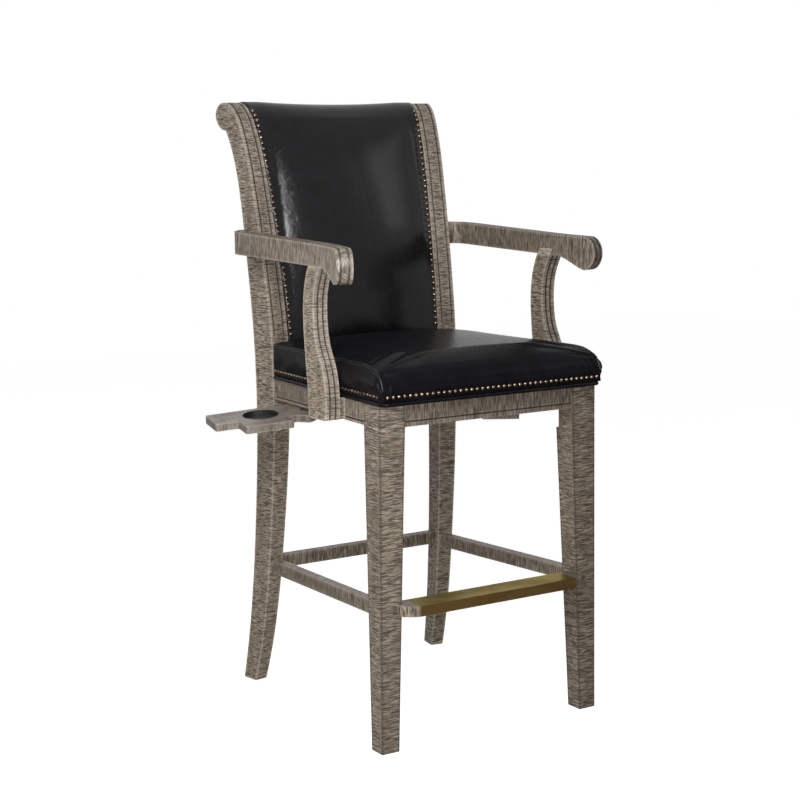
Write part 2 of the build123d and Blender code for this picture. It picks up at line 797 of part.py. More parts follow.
def seat_cushion(shanks):
    """The stuffed cover, on a flat skirt that the nails go through."""
    body = loft([cushion_section(*section) for section in cushion_sections], ruled=True)
    front_y, back_y = cushion_sections[0][0], cushion_sections[-1][0]
    corners = [(side * (seat_half(y) - skirt_inset), y)
               for side, y in ((-1, front_y), (1, front_y), (1, back_y), (-1, back_y))]
    skirt = raised(seat_shape(corners, skirt_corner), apron_top + skirt_bottom, apron_top + skirt_top)
    return (skirt - seat_board(apron_top, deck_top) - shanks) + (body - seat_board(apron_top, deck_top))


def seat_piping():
    z = apron_top + piping_radius
    corners = []
    for side, y in ((-1, rail_back_y), (-1, seat_front_y + piping_radius),
                    (1, seat_front_y + piping_radius), (1, rail_back_y)):
        corners.append((side * (seat_half(y) - piping_radius), y, z))
    path = FilletPolyline(*corners, radius=piping_corner)
    return sweep(Plane(origin=path @ 0, z_dir=path % 0) * Circle(piping_radius), path)


# Nails: a domed head on a plain shank, driven square into the cover

def nail():
    ball = (nail_radius ** 2 + nail_height ** 2) / (2 * nail_height)
    dome = Pos(0, 0, nail_height - ball) * Sphere(ball)
    head = dome & (Pos(0, 0, nail_height / 2) * Box(nail_radius * 4, nail_radius * 4, nail_height))
    return head + rod((0, 0, -nail_shank), (0, 0, 1), nail_shank_radius, nail_shank)


def shank():
    return rod((0, 0, -nail_shank), (0, 0, 1), nail_shank_radius, nail_shank)


def seat_nail_places():
    """Planes on the cover, their normals outward, for the front and both sides."""
    z = apron_top + nail_row
    count = round(seat_nail_front_half * 2 / seat_nail_pitch)
    places = []
    for k in range(count + 1):
        x = seat_nail_front_half * (2 * k / count - 1)
        places.append(Plane(origin=(x, cushion_sections[0][0] - nail_lift, z), x_dir=(1, 0, 0),
                            z_dir=(0, -1, 0)))
    lean = atan2(seat_front_half - seat_back_half, seat_back_y - seat_front_y)
    run = seat_nail_side_end - seat_nail_side_start
    steps = round(run / seat_nail_pitch)
    for k in range(steps + 1):
        y = seat_nail_side_start + run * k / steps
        for side in (-1, 1):
            normal = (side * cos(lean), sin(lean), 0)
            spot = (side * (seat_half(y) - skirt_inset + nail_lift), y, z)
            places.append(Plane(origin=spot, x_dir=(0, 0, 1), z_dir=normal))
    return places


def back_nail_places():
    """Planes down the strip beside the right-hand post."""
    line = Wire(arcs_through(back_front_line))
    places = []
    for k in range(back_nail_count):
        share = (back_nail_start + back_nail_pitch * k) / line.length
        spot, way = line @ share, line % share
        y, z = spot.X, spot.Y
        x = inner_face(y, z) - back_nail_inset
        normal = Vector(0, -way.Y, way.X)
        places.append(Plane(origin=Vector(x, y, z) + normal * back_nail_lift, x_dir=(1, 0, 0), z_dir=normal))
    return places


# Back

def shifted(points, step):
    return [(y + step, z) for y, z in points]


def back_section(crown):
    """A slice across the padded front, bulging forward by the crown."""
    front = [(y - crown * share, z) for (y, z), share in zip(back_front_line, back_crown_height_shares)]
    board = shifted(back_front_line[:5], back_pad_edge)
    edges = arcs_through(front)
    edges += [Line(front[-1], back_roll_foot), Line(back_roll_foot, board[-1])]
    edges += arcs_through(board[::-1])
    edges.append(Line(board[0], front[0]))
    return make_face(edges)


def back_cushion():
    slices = []
    for share, crown in back_crown_shares[::-1]:
        slices.append((-share, crown))
    for share, crown in back_crown_shares[1:]:
        slices.append((share, crown))
    sections = [Plane.YZ.offset(share * back_flat_half) * back_section(crown * back_crown)
                for share, crown in slices]
    middle = loft(sections)
    wide = post_corner_x + post_thick - back_flat_half
    strip = extrude(Plane.YZ.offset(back_flat_half) * back_section(0), wide)
    return middle + strip + mirrored(strip)


def between_posts(piece, gap):
    room = beyond_post(gap)
    return piece - room - mirrored(room)


def back_board():
    front = shifted(back_front_line[:5], back_pad_edge)
    rear = shifted(front, back_board_thick)
    edges = arcs_through(front) + [Line(front[-1], rear[-1])] + arcs_through(rear[::-1])
    edges.append(Line(rear[0], front[0]))
    return side_prism(edges, -post_corner_x, post_corner_x)


def back_panel():
    front = shifted(back_panel_line, -back_panel_thick)
    edges = arcs_through(back_panel_line) + [Line(back_panel_line[-1], front[-1])]
    edges += arcs_through(front[::-1]) + [Line(front[0], back_panel_line[0])]
    return side_prism(edges, -post_corner_x - post_thick, post_corner_x + post_thick)


def back_low_rail():
    front_y = back_front_line[0][0] + back_pad_edge + back_board_thick
    rear_y = back_panel_line[0][0] - back_panel_thick
    return bar((-post_corner_x, post_corner_x), (front_y, rear_y),
               (back_rail_bottom, back_rail_bottom + back_rail_high))


def roll_core():
    half = post_corner_x + post_thick
    return rod((-half, *roll_core_middle), (1, 0, 0), roll_core_radius, half * 2)


# Trays

def tray_plane(droops):
    """The top face of a left-hand tray swung out: u outward, v forward, drooping by two angles."""
    toe = radians(tray_toe)
    out_slope, front_slope = [tan(radians(angle)) for angle in droops]
    u = Vector(-cos(toe), sin(toe), -out_slope)
    v = Vector(-sin(toe), -cos(toe), -front_slope)
    px, py = pivot_at[0] - tray_origin[0], pivot_at[1] - tray_origin[1]
    pivot_u = px * cos(toe) + py * sin(toe)
    pivot_v = px * sin(toe) - py * cos(toe)
    top = tray_pivot_top + out_slope * pivot_u + front_slope * pivot_v
    return Plane(origin=(-tray_origin[0], tray_origin[1], top), x_dir=u, z_dir=u.cross(v))


def tray_outline():
    straight = [tray_back_foot, (tray_end, -tray_rear), (tray_end, tray_step), (tray_step_foot, tray_step),
                tray_scoop, (tray_scoop[0], tray_front), tray_front_inner, tray_notch, tray_notch_foot,
                tray_ear_tip]
    edges = [Line(first, last) for first, last in zip(straight, straight[1:])]
    edges += [ThreePointArc(tray_ear_tip, tray_ear_side, tray_ear_foot),
              Line(tray_ear_foot, tray_inner_foot), Line(tray_inner_foot, tray_back_foot)]
    face = make_face(edges)
    sharp = [corner for corner in face.vertices() if corner.X > tray_notch_foot[0] * 2]
    return fillet(sharp, tray_round)


def tray_pivot_axis(z, height, radius):
    return rod((-pivot_at[0], pivot_at[1], z), (0, 0, 1), radius, height)


spot_top = tray_pivot_top - spot_depth
spot_bottom = tray_pivot_top - tray_thick + spot_depth


def cue_tray(droops):
    """A left-hand tray and its cup insert, swung out."""
    plane = tray_plane(droops)
    board = extrude(plane * tray_outline(), -tray_thick)
    cup = Pos(*cup_at, 0)
    ledge_depth = tray_thick - cup_ledge_depth
    board = board - extrude(plane * cup * Circle(cup_radius), -ledge_depth)
    board = board - extrude(plane * cup * Circle(cup_radius - cup_ledge), -tray_thick)
    board = board - tray_pivot_axis(spot_bottom - overrun, overrun * 2, pivot_radius + pivot_clearance)
    board = board - tray_pivot_axis(spot_top, overrun, spot_radius)
    board = board - tray_pivot_axis(spot_bottom - overrun, overrun, spot_radius)
    insert = extrude(plane * cup * Circle(cup_radius), -ledge_depth)
    insert = insert - extrude(plane * cup * Circle(cup_radius - insert_wall), -ledge_depth + insert_floor)
    return board, insert


def pivot_bolt():
    head_top = spot_bottom - tray_gap
    head = tray_pivot_axis(head_top - pivot_head_height, pivot_head_height, pivot_head_radius)
    return head + tray_pivot_axis(head_top, apron_bottom + pivot_reach - head_top, pivot_radius)


def bushing():
    low = spot_top + tray_gap
    tube = tray_pivot_axis(low, apron_bottom - low, bushing_radius)
    return tube - tray_pivot_axis(low, apron_bottom - low, pivot_radius)


# Build the pieces that come in pairs, on the right

side_dowels, front_dowels = apron_leg_dowels()
post_side_dowels, post_rear_dowels = apron_post_dowels()
stretcher_front_dowel, stretcher_rear_dowel, cross_dowel = stretcher_dowels()
rest_dowels = footrest_dowels()
low_back_dowels, roll_dowel = back_dowels()
dowels = side_dowels + front_dowels + post_side_dowels + post_rear_dowels + rest_dowels + low_back_dowels
dowels += [stretcher_front_dowel, stretcher_rear_dowel, cross_dowel, roll_dowel]
front_hanger = hanger(front_hanger_corner, front_hanger_way)
rear_hanger = hanger(rear_hanger_corner, rear_hanger_way)
front_screw, rear_screw = seat_screw(front_seat_screw), seat_screw(rear_seat_screw)
bolts, bolt_wells = support_bolts()
bolt_to_arm, arm_bolt_well = arm_bolt()
pins = arm_dowels()
right_bolt = mirrored(pivot_bolt())
front_glide = glide(*leg_foot_middle)
rear_glide = glide(post_foot_middle.X, post_foot_middle.Y)

leg = front_leg()
post = rear_post()
whole_arm = arm()
rail_front, rail_side, rail_rear = seat_rails()

pairs = {}
pairs["front_leg"] = leg - side_dowels - front_dowels - rest_dowels - [stretcher_front_dowel, front_hanger,
                                                                         front_glide]
pairs["rear_post"] = post - post_side_dowels - post_rear_dowels - low_back_dowels - [
    stretcher_rear_dowel, cross_dowel, roll_dowel, rear_hanger, rear_glide, bolt_to_arm, arm_bolt_well]
pairs["side_apron"] = side_apron() - post - side_dowels - post_side_dowels - bolts - bolt_wells - right_bolt
pairs["side_stretcher"] = side_stretcher() - leg - post - stretcher_front_dowel - stretcher_rear_dowel
pairs["front_corner_block"] = front_block() - front_hanger - front_screw
pairs["rear_corner_block"] = rear_block() - post - rear_hanger - rear_screw
pairs["armrest"] = whole_arm - post - bolt_to_arm - pins
pairs["arm_support"] = arm_support() - whole_arm - bolts - pins
pairs["support_spacer"] = support_spacer() - bolts
pairs["front_glide"] = front_glide
pairs["rear_glide"] = rear_glide
pairs["tray_pivot_bolt"] = right_bolt
pairs["tray_bushing"] = mirrored(bushing())

# Pieces across the middle, each cut by the fasteners of both sides

def both(pieces):
    return pieces + [mirrored(piece) for piece in pieces]


one_nail, one_shank = nail(), shank()
nails = [place.location * one_nail for place in seat_nail_places()]
shanks = [place.location * one_shank for place in seat_nail_places()]
right_back_nails = [place.location * one_nail for place in back_nail_places()]
right_back_shanks = [place.location * one_shank for place in back_nail_places()]
cap, screws = footrest_cap(), footrest_screws()
core = between_posts(roll_core(), 0)
board = between_posts(back_board(), 0)
panel = between_posts(back_panel(), soft_gap)

single = {}
single["front_apron"] = front_apron() - both(front_dowels)
single["rear_apron"] = rear_apron() - both(post_rear_dowels)
single["rear_stretcher"] = rear_stretcher() - both([cross_dowel])
single["footrest_rail"] = footrest_rail() - both([leg] + rest_dowels) - cap - screws
single["footrest_cap"] = cap - screws
single["footrest_screws"] = solids_of(screws)
single["corner_bolts"] = solids_of(both([front_hanger, rear_hanger]))
single["corner_nuts"] = solids_of(both([
    hanger_nut(front_hanger_corner, front_hanger_way, front_block_x - apron_back),
    hanger_nut(rear_hanger_corner, rear_hanger_way, rear_block_x + rear_apron_y)]))
single["seat_screws"] = solids_of(both([front_screw, rear_screw]))
single["frame_dowels"] = solids_of(both(dowels))
single["support_bolts"] = solids_of(both(bolts))
single["arm_bolts"] = solids_of(both([bolt_to_arm]))
single["arm_dowels"] = solids_of(both(pins))
single["seat_rail_front"] = rail_front - shanks
single["seat_rail_right"] = rail_side - shanks - front_screw - rear_screw
single["seat_rail_left"] = mirrored(single["seat_rail_right"])
single["seat_rail_rear"] = rail_rear
single["seat_deck"] = seat_board(deck_bottom, deck_top)
single["seat_cushion"] = seat_cushion(shanks)
single["seat_piping"] = seat_piping()
single["seat_nails"] = solids_of(nails)
single["back_board"] = board - both(right_back_shanks)
single["back_low_rail"] = between_posts(back_low_rail(), 0) - back_board() - both(low_back_dowels)
single["back_roll_core"] = core - both([roll_dowel] + right_back_shanks)
single["back_panel"] = panel
single["back_cushion"] = between_posts(back_cushion(), soft_gap) - core - both(right_back_shanks)
single["back_nails_right"] = solids_of(right_back_nails)
single["back_nails_left"] = solids_of([mirrored(piece) for piece in right_back_nails])

tray_left, insert_left = cue_tray(tray_droop_left)
tray_right, insert_right = [mirrored(piece) for piece in cue_tray(tray_droop_right)]
pivot_axis = Axis((pivot_at[0], pivot_at[1], 0), (0, 0, 1))
single["cue_tray_left"] = tray_left
single["cup_insert_left"] = insert_left
single["cue_tray_right"] = tray_right.rotate(pivot_axis, -tray_swing_right)
single["cup_insert_right"] = insert_right.rotate(pivot_axis, -tray_swing_right)


def save(name, piece):
    export_step(Pos(0, -footprint_depth / 2, 0) * piece, f"parts/{name}.step")


os.makedirs("parts", exist_ok=True)
for name, piece in pairs.items():
    save(name + "_right", piece)
    save(name + "_left", mirrored(piece))
for name, piece in single.items():
    save(name, piece)
print(len(pairs) * 2 + len(single), "nodes")
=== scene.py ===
# %% [markdown]
# This lesson dresses a tall billiard spectator chair. Its solids come from a CAD file and stay
# where they are. Blender adds what a solid can't show: brushed and glazed wood, stuffed
# leatherette covers, seams, stitches, antique brass, and the light of a small studio.
# Everything is in metres. +Z is up, the chair faces -Y, and left is -X.

# %% Load the solids
import math

import bmesh
import bpy
import numpy as np
from mathutils import Matrix, Vector
from mathutils.bvhtree import BVHTree


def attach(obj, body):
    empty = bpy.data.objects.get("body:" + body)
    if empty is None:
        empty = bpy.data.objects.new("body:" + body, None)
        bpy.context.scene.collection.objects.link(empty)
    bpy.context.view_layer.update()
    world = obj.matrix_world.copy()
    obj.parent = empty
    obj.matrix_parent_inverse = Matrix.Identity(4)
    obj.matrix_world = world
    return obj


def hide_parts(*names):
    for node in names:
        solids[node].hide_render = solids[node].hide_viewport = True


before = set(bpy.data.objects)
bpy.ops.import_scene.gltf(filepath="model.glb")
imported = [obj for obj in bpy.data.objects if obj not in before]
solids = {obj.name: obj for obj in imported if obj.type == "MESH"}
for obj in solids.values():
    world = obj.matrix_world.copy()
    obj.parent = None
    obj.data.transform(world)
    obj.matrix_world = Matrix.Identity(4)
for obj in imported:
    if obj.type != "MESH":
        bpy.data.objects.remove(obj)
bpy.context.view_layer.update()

# %% [markdown]
# A material is a small network of nodes. It could be drawn by hand in the node editor, but a script
# repeats it exactly and lets two finishes share one recipe. Two helpers keep the networks short:
# one starts a material with its shader, and one adds a node and links or sets its inputs.

# %% Helpers for nodes
def start_material(name):
    material = bpy.data.materials.new(name)
    material.use_nodes = True
    tree = material.node_tree
    tree.nodes.clear()
    output = tree.nodes.new("ShaderNodeOutputMaterial")
    shader = tree.nodes.new("ShaderNodeBsdfPrincipled")
    tree.links.new(shader.outputs["BSDF"], output.inputs["Surface"])
    return material, shader


def add_node(material, kind, inputs, **settings):
    made = material.node_tree.nodes.new(kind)
    for name, value in settings.items():
        setattr(made, name, value)
    fill(material, made, inputs)
    return made


def fill(material, node, inputs):
    for name, value in inputs.items():
        if isinstance(value, bpy.types.NodeSocket):
            material.node_tree.links.new(value, node.inputs[name])
        else:
            node.inputs[name].default_value = value


print("node helpers ready")

# %% [markdown]
# A pattern needs a place to be read at. Unwrapping all the solids would work, but then every size
# depends on the unwrapping. The surface point in the piece's own frame is simpler: a scale of 500
# gives marks about two millimetres apart on every piece, and they stay put when a piece swings.

# %% Helpers for patterns
OPEN_SAMPLES = 8


def own_place(material, scale):
    """The surface point in the piece's own frame, stretched by a scale along each axis."""
    point = add_node(material, "ShaderNodeTexCoord", {}).outputs["Object"]
    return add_node(material, "ShaderNodeMapping", {"Vector": point, "Scale": scale}).outputs["Vector"]


def noise(material, place, detail=3.0, roughness=0.55, distortion=0.0):
    return add_node(material, "ShaderNodeTexNoise",
                    {"Vector": place, "Scale": 1.0, "Detail": detail, "Roughness": roughness,
                     "Distortion": distortion}).outputs["Fac"]


def ramp(material, value, *stops):
    """A colour ramp through (position, colour) stops."""
    made = add_node(material, "ShaderNodeValToRGB", {"Fac": value})
    elements = made.color_ramp.elements
    for (position, colour), element in zip(stops, [elements[0], elements[1]]):
        element.position, element.color = position, (*colour, 1.0)
    for position, colour in stops[2:]:
        elements.new(position).color = (*colour, 1.0)
    return made.outputs["Color"]


def mask(material, value, low, high):
    """0 below low and 1 above high."""
    return add_node(material, "ShaderNodeMapRange",
                    {"Value": value, "From Min": low, "From Max": high}, clamp=True).outputs["Result"]


def openness(material, reach, **settings):
    """1 on an open surface, less near a corner within reach. inside=True looks into the piece."""
    return add_node(material, "ShaderNodeAmbientOcclusion", {"Distance": reach},
                    samples=OPEN_SAMPLES, **settings).outputs["AO"]


print("pattern helpers ready")

# %% [markdown]
# Patterns become a finish when they mix colours and press relief into the surface. A bump node is
# used for grain, creases and faint waves, because real geometry that fine would be heavy. The larger
# forms of the chair are geometry.

# %% Helpers for mixing
def blend_colours(material, share, first, second):
    made = material.node_tree.nodes.new("ShaderNodeMix")
    made.data_type, made.blend_type = "RGBA", "MIX"
    fill(material, made, {0: share, 6: first, 7: second})
    return made.outputs[2]


def tinted(colour, shade):
    return tuple(channel * shade for channel in colour)


def opaque(colour):
    return (*colour, 1.0)


def spread(material, value, low, high):
    """The value, from 0.3 to 0.7, spread over low to high."""
    return add_node(material, "ShaderNodeMapRange", {"Value": value, "From Min": 0.3, "From Max": 0.7,
                                                     "To Min": low, "To Max": high}).outputs["Result"]


def scaled(material, value, factor):
    return add_node(material, "ShaderNodeMath", {0: value, 1: factor}, operation="MULTIPLY").outputs[0]


def summed(material, first, second):
    return add_node(material, "ShaderNodeMath", {0: first, 1: second}, operation="ADD").outputs[0]


def bump(material, height, distance, strength=1.0, under=None):
    inputs = {"Height": height, "Distance": distance, "Strength": strength}
    if under is not None:
        inputs["Normal"] = under
    return add_node(material, "ShaderNodeBump", inputs).outputs["Normal"]


print("mixing helpers ready")

# %% [markdown]
# The wood has a pale greige stain, brushed with a dark glaze across each member. The brush leaves
# short dark strokes, more in some patches than in others. A wave texture would give strokes that
# are too regular, so a noise is stretched across the member and squeezed along it. Grooves and
# inner corners turn nearly black, partly glaze and partly painted shade. The edges differ from the
# faces: pale on the posts and arms, partly from rubbing and partly a painted highlight, and dark on
# the legs. Ambient occlusion finds both. Looking outward it finds the grooves, and looking into the
# wood it finds the edges.

# %% Colours of the wood
WOOD_LIGHT = (0.64, 0.545, 0.430)
WOOD_MIDDLE = (0.44, 0.365, 0.280)
WOOD_DARK = (0.245, 0.190, 0.137)
WOOD_STROKE = (0.045, 0.034, 0.026)
# The next colour darkens grooves and inner corners: partly glaze, partly painted shade.
WOOD_GLAZE_AND_SHADE = (0.030, 0.022, 0.017)
# The next colour is the pale edge: partly rubbing, and on the posts and arms partly a painted highlight.
WOOD_WORN_AND_HIGHLIGHT = (0.60, 0.53, 0.44)
STROKE_ALONG, FINE_FACTOR = 520.0, 1.9
PATCH_ACROSS, PATCH_ALONG = 30.0, 9.0
EDGE_REACH, HOLLOW_REACH = 0.0065, 0.0055
# The last share here says how dark grooves and inner corners get: partly glaze, partly painted shade.
STROKE_SHARE, FINE_SHARE, GLAZE_AND_SHADE_SHARE = 0.82, 0.68, 0.94
# How far every edge turns to its rim colour; a pale rim is partly rubbing, partly a painted highlight.
EDGE_TURN_SHARE = 0.15
print("stroke marks per metre of a member:", STROKE_ALONG)


# %% Brushed wood
def stretched(across, ahead, along):
    """A scale of across, but ahead along one axis."""
    scale = [across] * 3
    scale[along] = ahead
    return scale


def brushed_wood(name, along, shade=1.0, strokes=0.5, across=34.0, edge_turn=0.0, rim=WOOD_WORN_AND_HIGHLIGHT):
    """Wood with strokes across its length, the axis number along. The share after across says how far its edges
    turn to rim; a pale rim is partly rubbing, partly a painted highlight.
    """
    material, shader = start_material(name)
    scale = stretched(across, STROKE_ALONG, along)
    patches = noise(material, own_place(material, stretched(PATCH_ACROSS, PATCH_ALONG, along)), 4.0, 0.6)
    coarse = noise(material, own_place(material, scale), 3.0, 0.5, 0.04)
    fine = noise(material, own_place(material, [factor * FINE_FACTOR for factor in scale]), 2.0, 0.5, 0.04)
    ground = ramp(material, patches, (0.32, tinted(WOOD_DARK, shade)),
                  (0.68, tinted(WOOD_LIGHT, shade)), (0.5, tinted(WOOD_MIDDLE, shade)))
    # Light patches hold more strokes
    lean = scaled(material, mask(material, patches, 0.30, 0.70), -0.10)
    stroke = mask(material, summed(material, coarse, lean), strokes - 0.04, strokes - 0.10)
    fine_stroke = mask(material, summed(material, fine, lean), strokes - 0.02, strokes - 0.08)
    brushed = blend_colours(material, scaled(material, fine_stroke, FINE_SHARE), ground, opaque(WOOD_STROKE))
    brushed = blend_colours(material, scaled(material, stroke, STROKE_SHARE), brushed, opaque(WOOD_STROKE))
    # Edges turn to the rim colour: rubbing, and on the posts and arms also a painted highlight.
    edge = openness(material, EDGE_REACH, inside=True, only_local=True)
    edge_share = scaled(material, mask(material, edge, 0.92, 0.58), EDGE_TURN_SHARE + edge_turn)
    ragged = scaled(material, edge_share, mask(material, coarse, 0.28, 0.50))
    edge_tint = blend_colours(material, ragged, brushed, opaque(tinted(rim, shade)))
    # Grooves and inner corners darken to near black: partly glaze, partly painted shade.
    hollow_shade = openness(material, HOLLOW_REACH, only_local=True)
    glazed_and_shaded = scaled(material, mask(material, hollow_shade, 0.88, 0.55), GLAZE_AND_SHADE_SHARE)
    relief = bump(material, coarse, 0.0005, 0.55)
    relief = bump(material, fine, 0.0003, 0.4, relief)
    fill(material, shader, {"Base Color": blend_colours(material, glazed_and_shaded, edge_tint, opaque(WOOD_GLAZE_AND_SHADE)),
                            "Roughness": spread(material, coarse, 0.52, 0.36), "Normal": relief,
                            "Specular IOR Level": 0.3})
    return material


print("brushed wood ready")

# %% [markdown]
# The strokes cross each member, so the material must know the member's long axis: 0 for pieces that
# run from left to right, 1 from front to back, and 2 for upright ones. One material could find the
# axis by itself, but four plain ones let the legs, posts, rails and arms differ a little, as they do.

# %% Wood on the frame
def two(name):
    return [name + "_left", name + "_right"]


def dress(material, names):
    for name in names:
        solids[name].material_slots[0].material = material
    print(material.name, "on", len(names), "solids")


# Pale edges on the posts, supports and arms are partly rubbing and partly a painted highlight; the legs' edges turn
# dark.
leg_wood = brushed_wood("brushed_wood_leg", 2, 0.94, edge_turn=0.45, rim=WOOD_STROKE)
upright_wood = brushed_wood("brushed_wood_upright", 2, 1.06, 0.48, 48.0, 0.55)
crosswise_wood = brushed_wood("brushed_wood_crosswise", 0, 0.88, 0.51, 30.0, 0.1)
lengthwise_wood = brushed_wood("brushed_wood_lengthwise", 1, 0.84, 0.49, 34.0, 0.3)
dress(leg_wood, two("front_leg"))
dress(upright_wood, two("rear_post") + two("arm_support") + two("support_spacer"))
dress(crosswise_wood, ["front_apron", "rear_apron", "rear_stretcher", "footrest_rail"])
dress(lengthwise_wood, two("side_apron") + two("side_stretcher") + two("armrest"))

# %% [markdown]
# Each swing tray is one board with the same stain, but its brush marks are fainter and its rim is
# pale. The brushed wood could serve with fewer strokes. A recipe of its own is shorter, and its long
# soft grain suits a flat board better.

# %% Tray wood
TRAY_DARK, TRAY_MIDDLE, TRAY_LIGHT = (0.15, 0.125, 0.105), (0.26, 0.222, 0.19), (0.36, 0.315, 0.27)
TRAY_EDGE_REACH = 0.004


def tray_wood(name):
    material, shader = start_material(name)
    patches = noise(material, own_place(material, (16.0, 30.0, 16.0)), 5.0, 0.62, 0.4)
    grain = noise(material, own_place(material, (230.0, 40.0, 60.0)), 4.0, 0.6, 0.3)
    ground = ramp(material, patches, (0.32, TRAY_DARK), (0.70, TRAY_LIGHT), (0.5, TRAY_MIDDLE))
    brushed = blend_colours(material, scaled(material, mask(material, grain, 0.5, 0.38), 0.6),
                            ground, opaque(WOOD_STROKE))
    edge = openness(material, TRAY_EDGE_REACH, inside=True, only_local=True)
    edge_tint = scaled(material, mask(material, edge, 0.92, 0.60), 0.35)
    colour = blend_colours(material, edge_tint, brushed, opaque(WOOD_WORN_AND_HIGHLIGHT))
    fill(material, shader, {"Base Color": colour, "Roughness": 0.42, "Specular IOR Level": 0.4,
                            "Normal": bump(material, grain, 0.0004, 0.6)})
    return material


dress(tray_wood("brushed_wood_tray"), two("cue_tray"))

# %% [markdown]
# Inside the seat and the back the wood is bare: sawn rails, plywood boards and dowels. The corner
# blocks behind the aprons took some stain. They show only from below, so one plain grain is enough:
# a noise that is squeezed across the fibres and long along them.

# %% Bare wood
def bare_wood(name, light, dark, along):
    material, shader = start_material(name)
    grain = noise(material, own_place(material, stretched(160.0, 9.0, along)), 4.0, 0.6, 0.8)
    broad = noise(material, own_place(material, [7.0] * 3), 3.0)
    fibres = ramp(material, grain, (0.3, dark), (0.7, light))
    colour = blend_colours(material, scaled(material, broad, 0.35), fibres, opaque(dark))
    fill(material, shader, {"Base Color": colour, "Roughness": 0.68, "Normal": bump(material, grain, 0.0004, 0.5)})
    return material


block_wood = bare_wood("bare_hardwood", (0.56, 0.39, 0.22), (0.36, 0.23, 0.12), 0)
board_wood = bare_wood("bare_plywood", (0.62, 0.47, 0.28), (0.45, 0.31, 0.17), 1)
stained_wood = bare_wood("stained_hardwood", (0.13, 0.10, 0.078), (0.065, 0.048, 0.036), 0)
dress(stained_wood, two("front_corner_block") + two("rear_corner_block"))
dress(block_wood, [
    "frame_dowels", "arm_dowels", "seat_rail_front", "seat_rail_left", "seat_rail_right", "seat_rail_rear",
    "back_low_rail", "back_roll_core"])
dress(board_wood, ["seat_deck", "back_board"])

# %% [markdown]
# The footrest cap is satin brass, polished along its length. It looks olive gold on top and browner
# in front, with smudges where shoes rest. One brass colour under two lamps could give that split,
# but then it would vanish under other light. So the split is painted light: the surface's own
# normal picks a lit colour for the top and a shaded one for the front.

# %% Brass of the footrest cap
# Painted light: a shaded colour for faces turned forward and a lit one for faces turned up.
CAP_SHADED_FRONT_DARK, CAP_SHADED_FRONT_LIGHT = (0.110, 0.064, 0.022), (0.200, 0.125, 0.042)
CAP_LIT_TOP_DARK, CAP_LIT_TOP_LIGHT = (0.115, 0.086, 0.028), (0.205, 0.160, 0.055)
CAP_GLANCE = (0.86, 0.78, 0.58)


def cap_brass(name):
    material, shader = start_material(name)
    lines = noise(material, own_place(material, (6.0, 420.0, 420.0)), 3.0, 0.6)
    smudge = noise(material, own_place(material, (11.0, 26.0, 26.0)), 4.0, 0.6, 0.6)
    facing = add_node(material, "ShaderNodeNewGeometry", {}).outputs["Normal"]
    upward = add_node(material, "ShaderNodeSeparateXYZ", {"Vector": facing}).outputs["Z"]
    front = ramp(material, smudge, (0.3, CAP_SHADED_FRONT_DARK), (0.7, CAP_SHADED_FRONT_LIGHT))
    top = ramp(material, smudge, (0.36, CAP_LIT_TOP_DARK), (0.60, CAP_LIT_TOP_LIGHT))
    # Painted light: faces turned up get the lit top colour, faces turned forward the shaded one.
    colour = blend_colours(material, mask(material, upward, 0.2, 0.7), front, top)
    fill(material, shader, {"Base Color": colour, "Metallic": 1.0,
                            "Roughness": spread(material, smudge, 0.46, 0.34),
                            "Specular Tint": opaque(CAP_GLANCE), "Normal": bump(material, lines, 0.0001, 0.35)})
    return material


dress(cap_brass("satin_brass"), ["footrest_cap"])

# %% [markdown]
# The upholstery nails are antique brass, bright on the crown of each dome, with painted shade where
# dome and leatherette meet. A painted ring on each nail would be slow work for this many nails.
# Ambient occlusion paints that shade on every rim at once, and a thin coat keeps the small sharp glint.

# %% Brass of the nails
NAIL_DARK, NAIL_LIGHT = (0.070, 0.043, 0.023), (0.155, 0.108, 0.063)
# The colour of the painted shade at each nail's rim.
NAIL_RIM_SHADE = (0.022, 0.012, 0.006)
NAIL_SHADE_REACH = 0.003


def nail_brass(name):
    material, shader = start_material(name)
    tone = noise(material, own_place(material, [90.0] * 3), 3.0, 0.6)
    hollow_shade = openness(material, NAIL_SHADE_REACH)
    bright = ramp(material, tone, (0.3, NAIL_DARK), (0.7, NAIL_LIGHT))
    # Painted shade: the rim of each dome, where it meets the leatherette, goes dark.
    colour = blend_colours(material, scaled(material, mask(material, hollow_shade, 0.92, 0.60), 0.95), bright,
                           opaque(NAIL_RIM_SHADE))
    fill(material, shader, {"Base Color": colour, "Metallic": 1.0, "Roughness": 0.20, "Coat Weight": 0.5,
                            "Coat Roughness": 0.10, "Normal": bump(material, tone, 0.0002, 0.3)})
    return material


dress(nail_brass("antique_brass"), ["seat_nails", "back_nails_left", "back_nails_right"])

# %% [markdown]
# Bolts, nuts and screws are zinc-plated steel, with a faint mottle. They show from below only, so a
# plain metal with a little tone is enough.

# %% Plated steel
def plated_steel(name):
    material, shader = start_material(name)
    tone = noise(material, own_place(material, [60.0] * 3), 3.0)
    colour = ramp(material, tone, (0.3, (0.36, 0.36, 0.35)), (0.7, (0.56, 0.56, 0.54)))
    fill(material, shader, {"Base Color": colour, "Metallic": 1.0, "Roughness": 0.38,
                            "Normal": bump(material, tone, 0.0002, 0.3)})
    return material


dress(plated_steel("zinc_plated_steel"), ["corner_bolts", "corner_nuts", "seat_screws", "support_bolts",
                                          "arm_bolts", "footrest_screws"] + two("tray_pivot_bolt"))

# %% [markdown]
# Moulded plastics: a black liner in each tray's cup recess, a nylon bushing at each pivot, and the
# four floor glides. They share one recipe, a dark colour with a very fine moulded grain, because
# only colour and shine set them apart. The bushing sits in shade under the apron, and its near-black
# colour is painted shade.

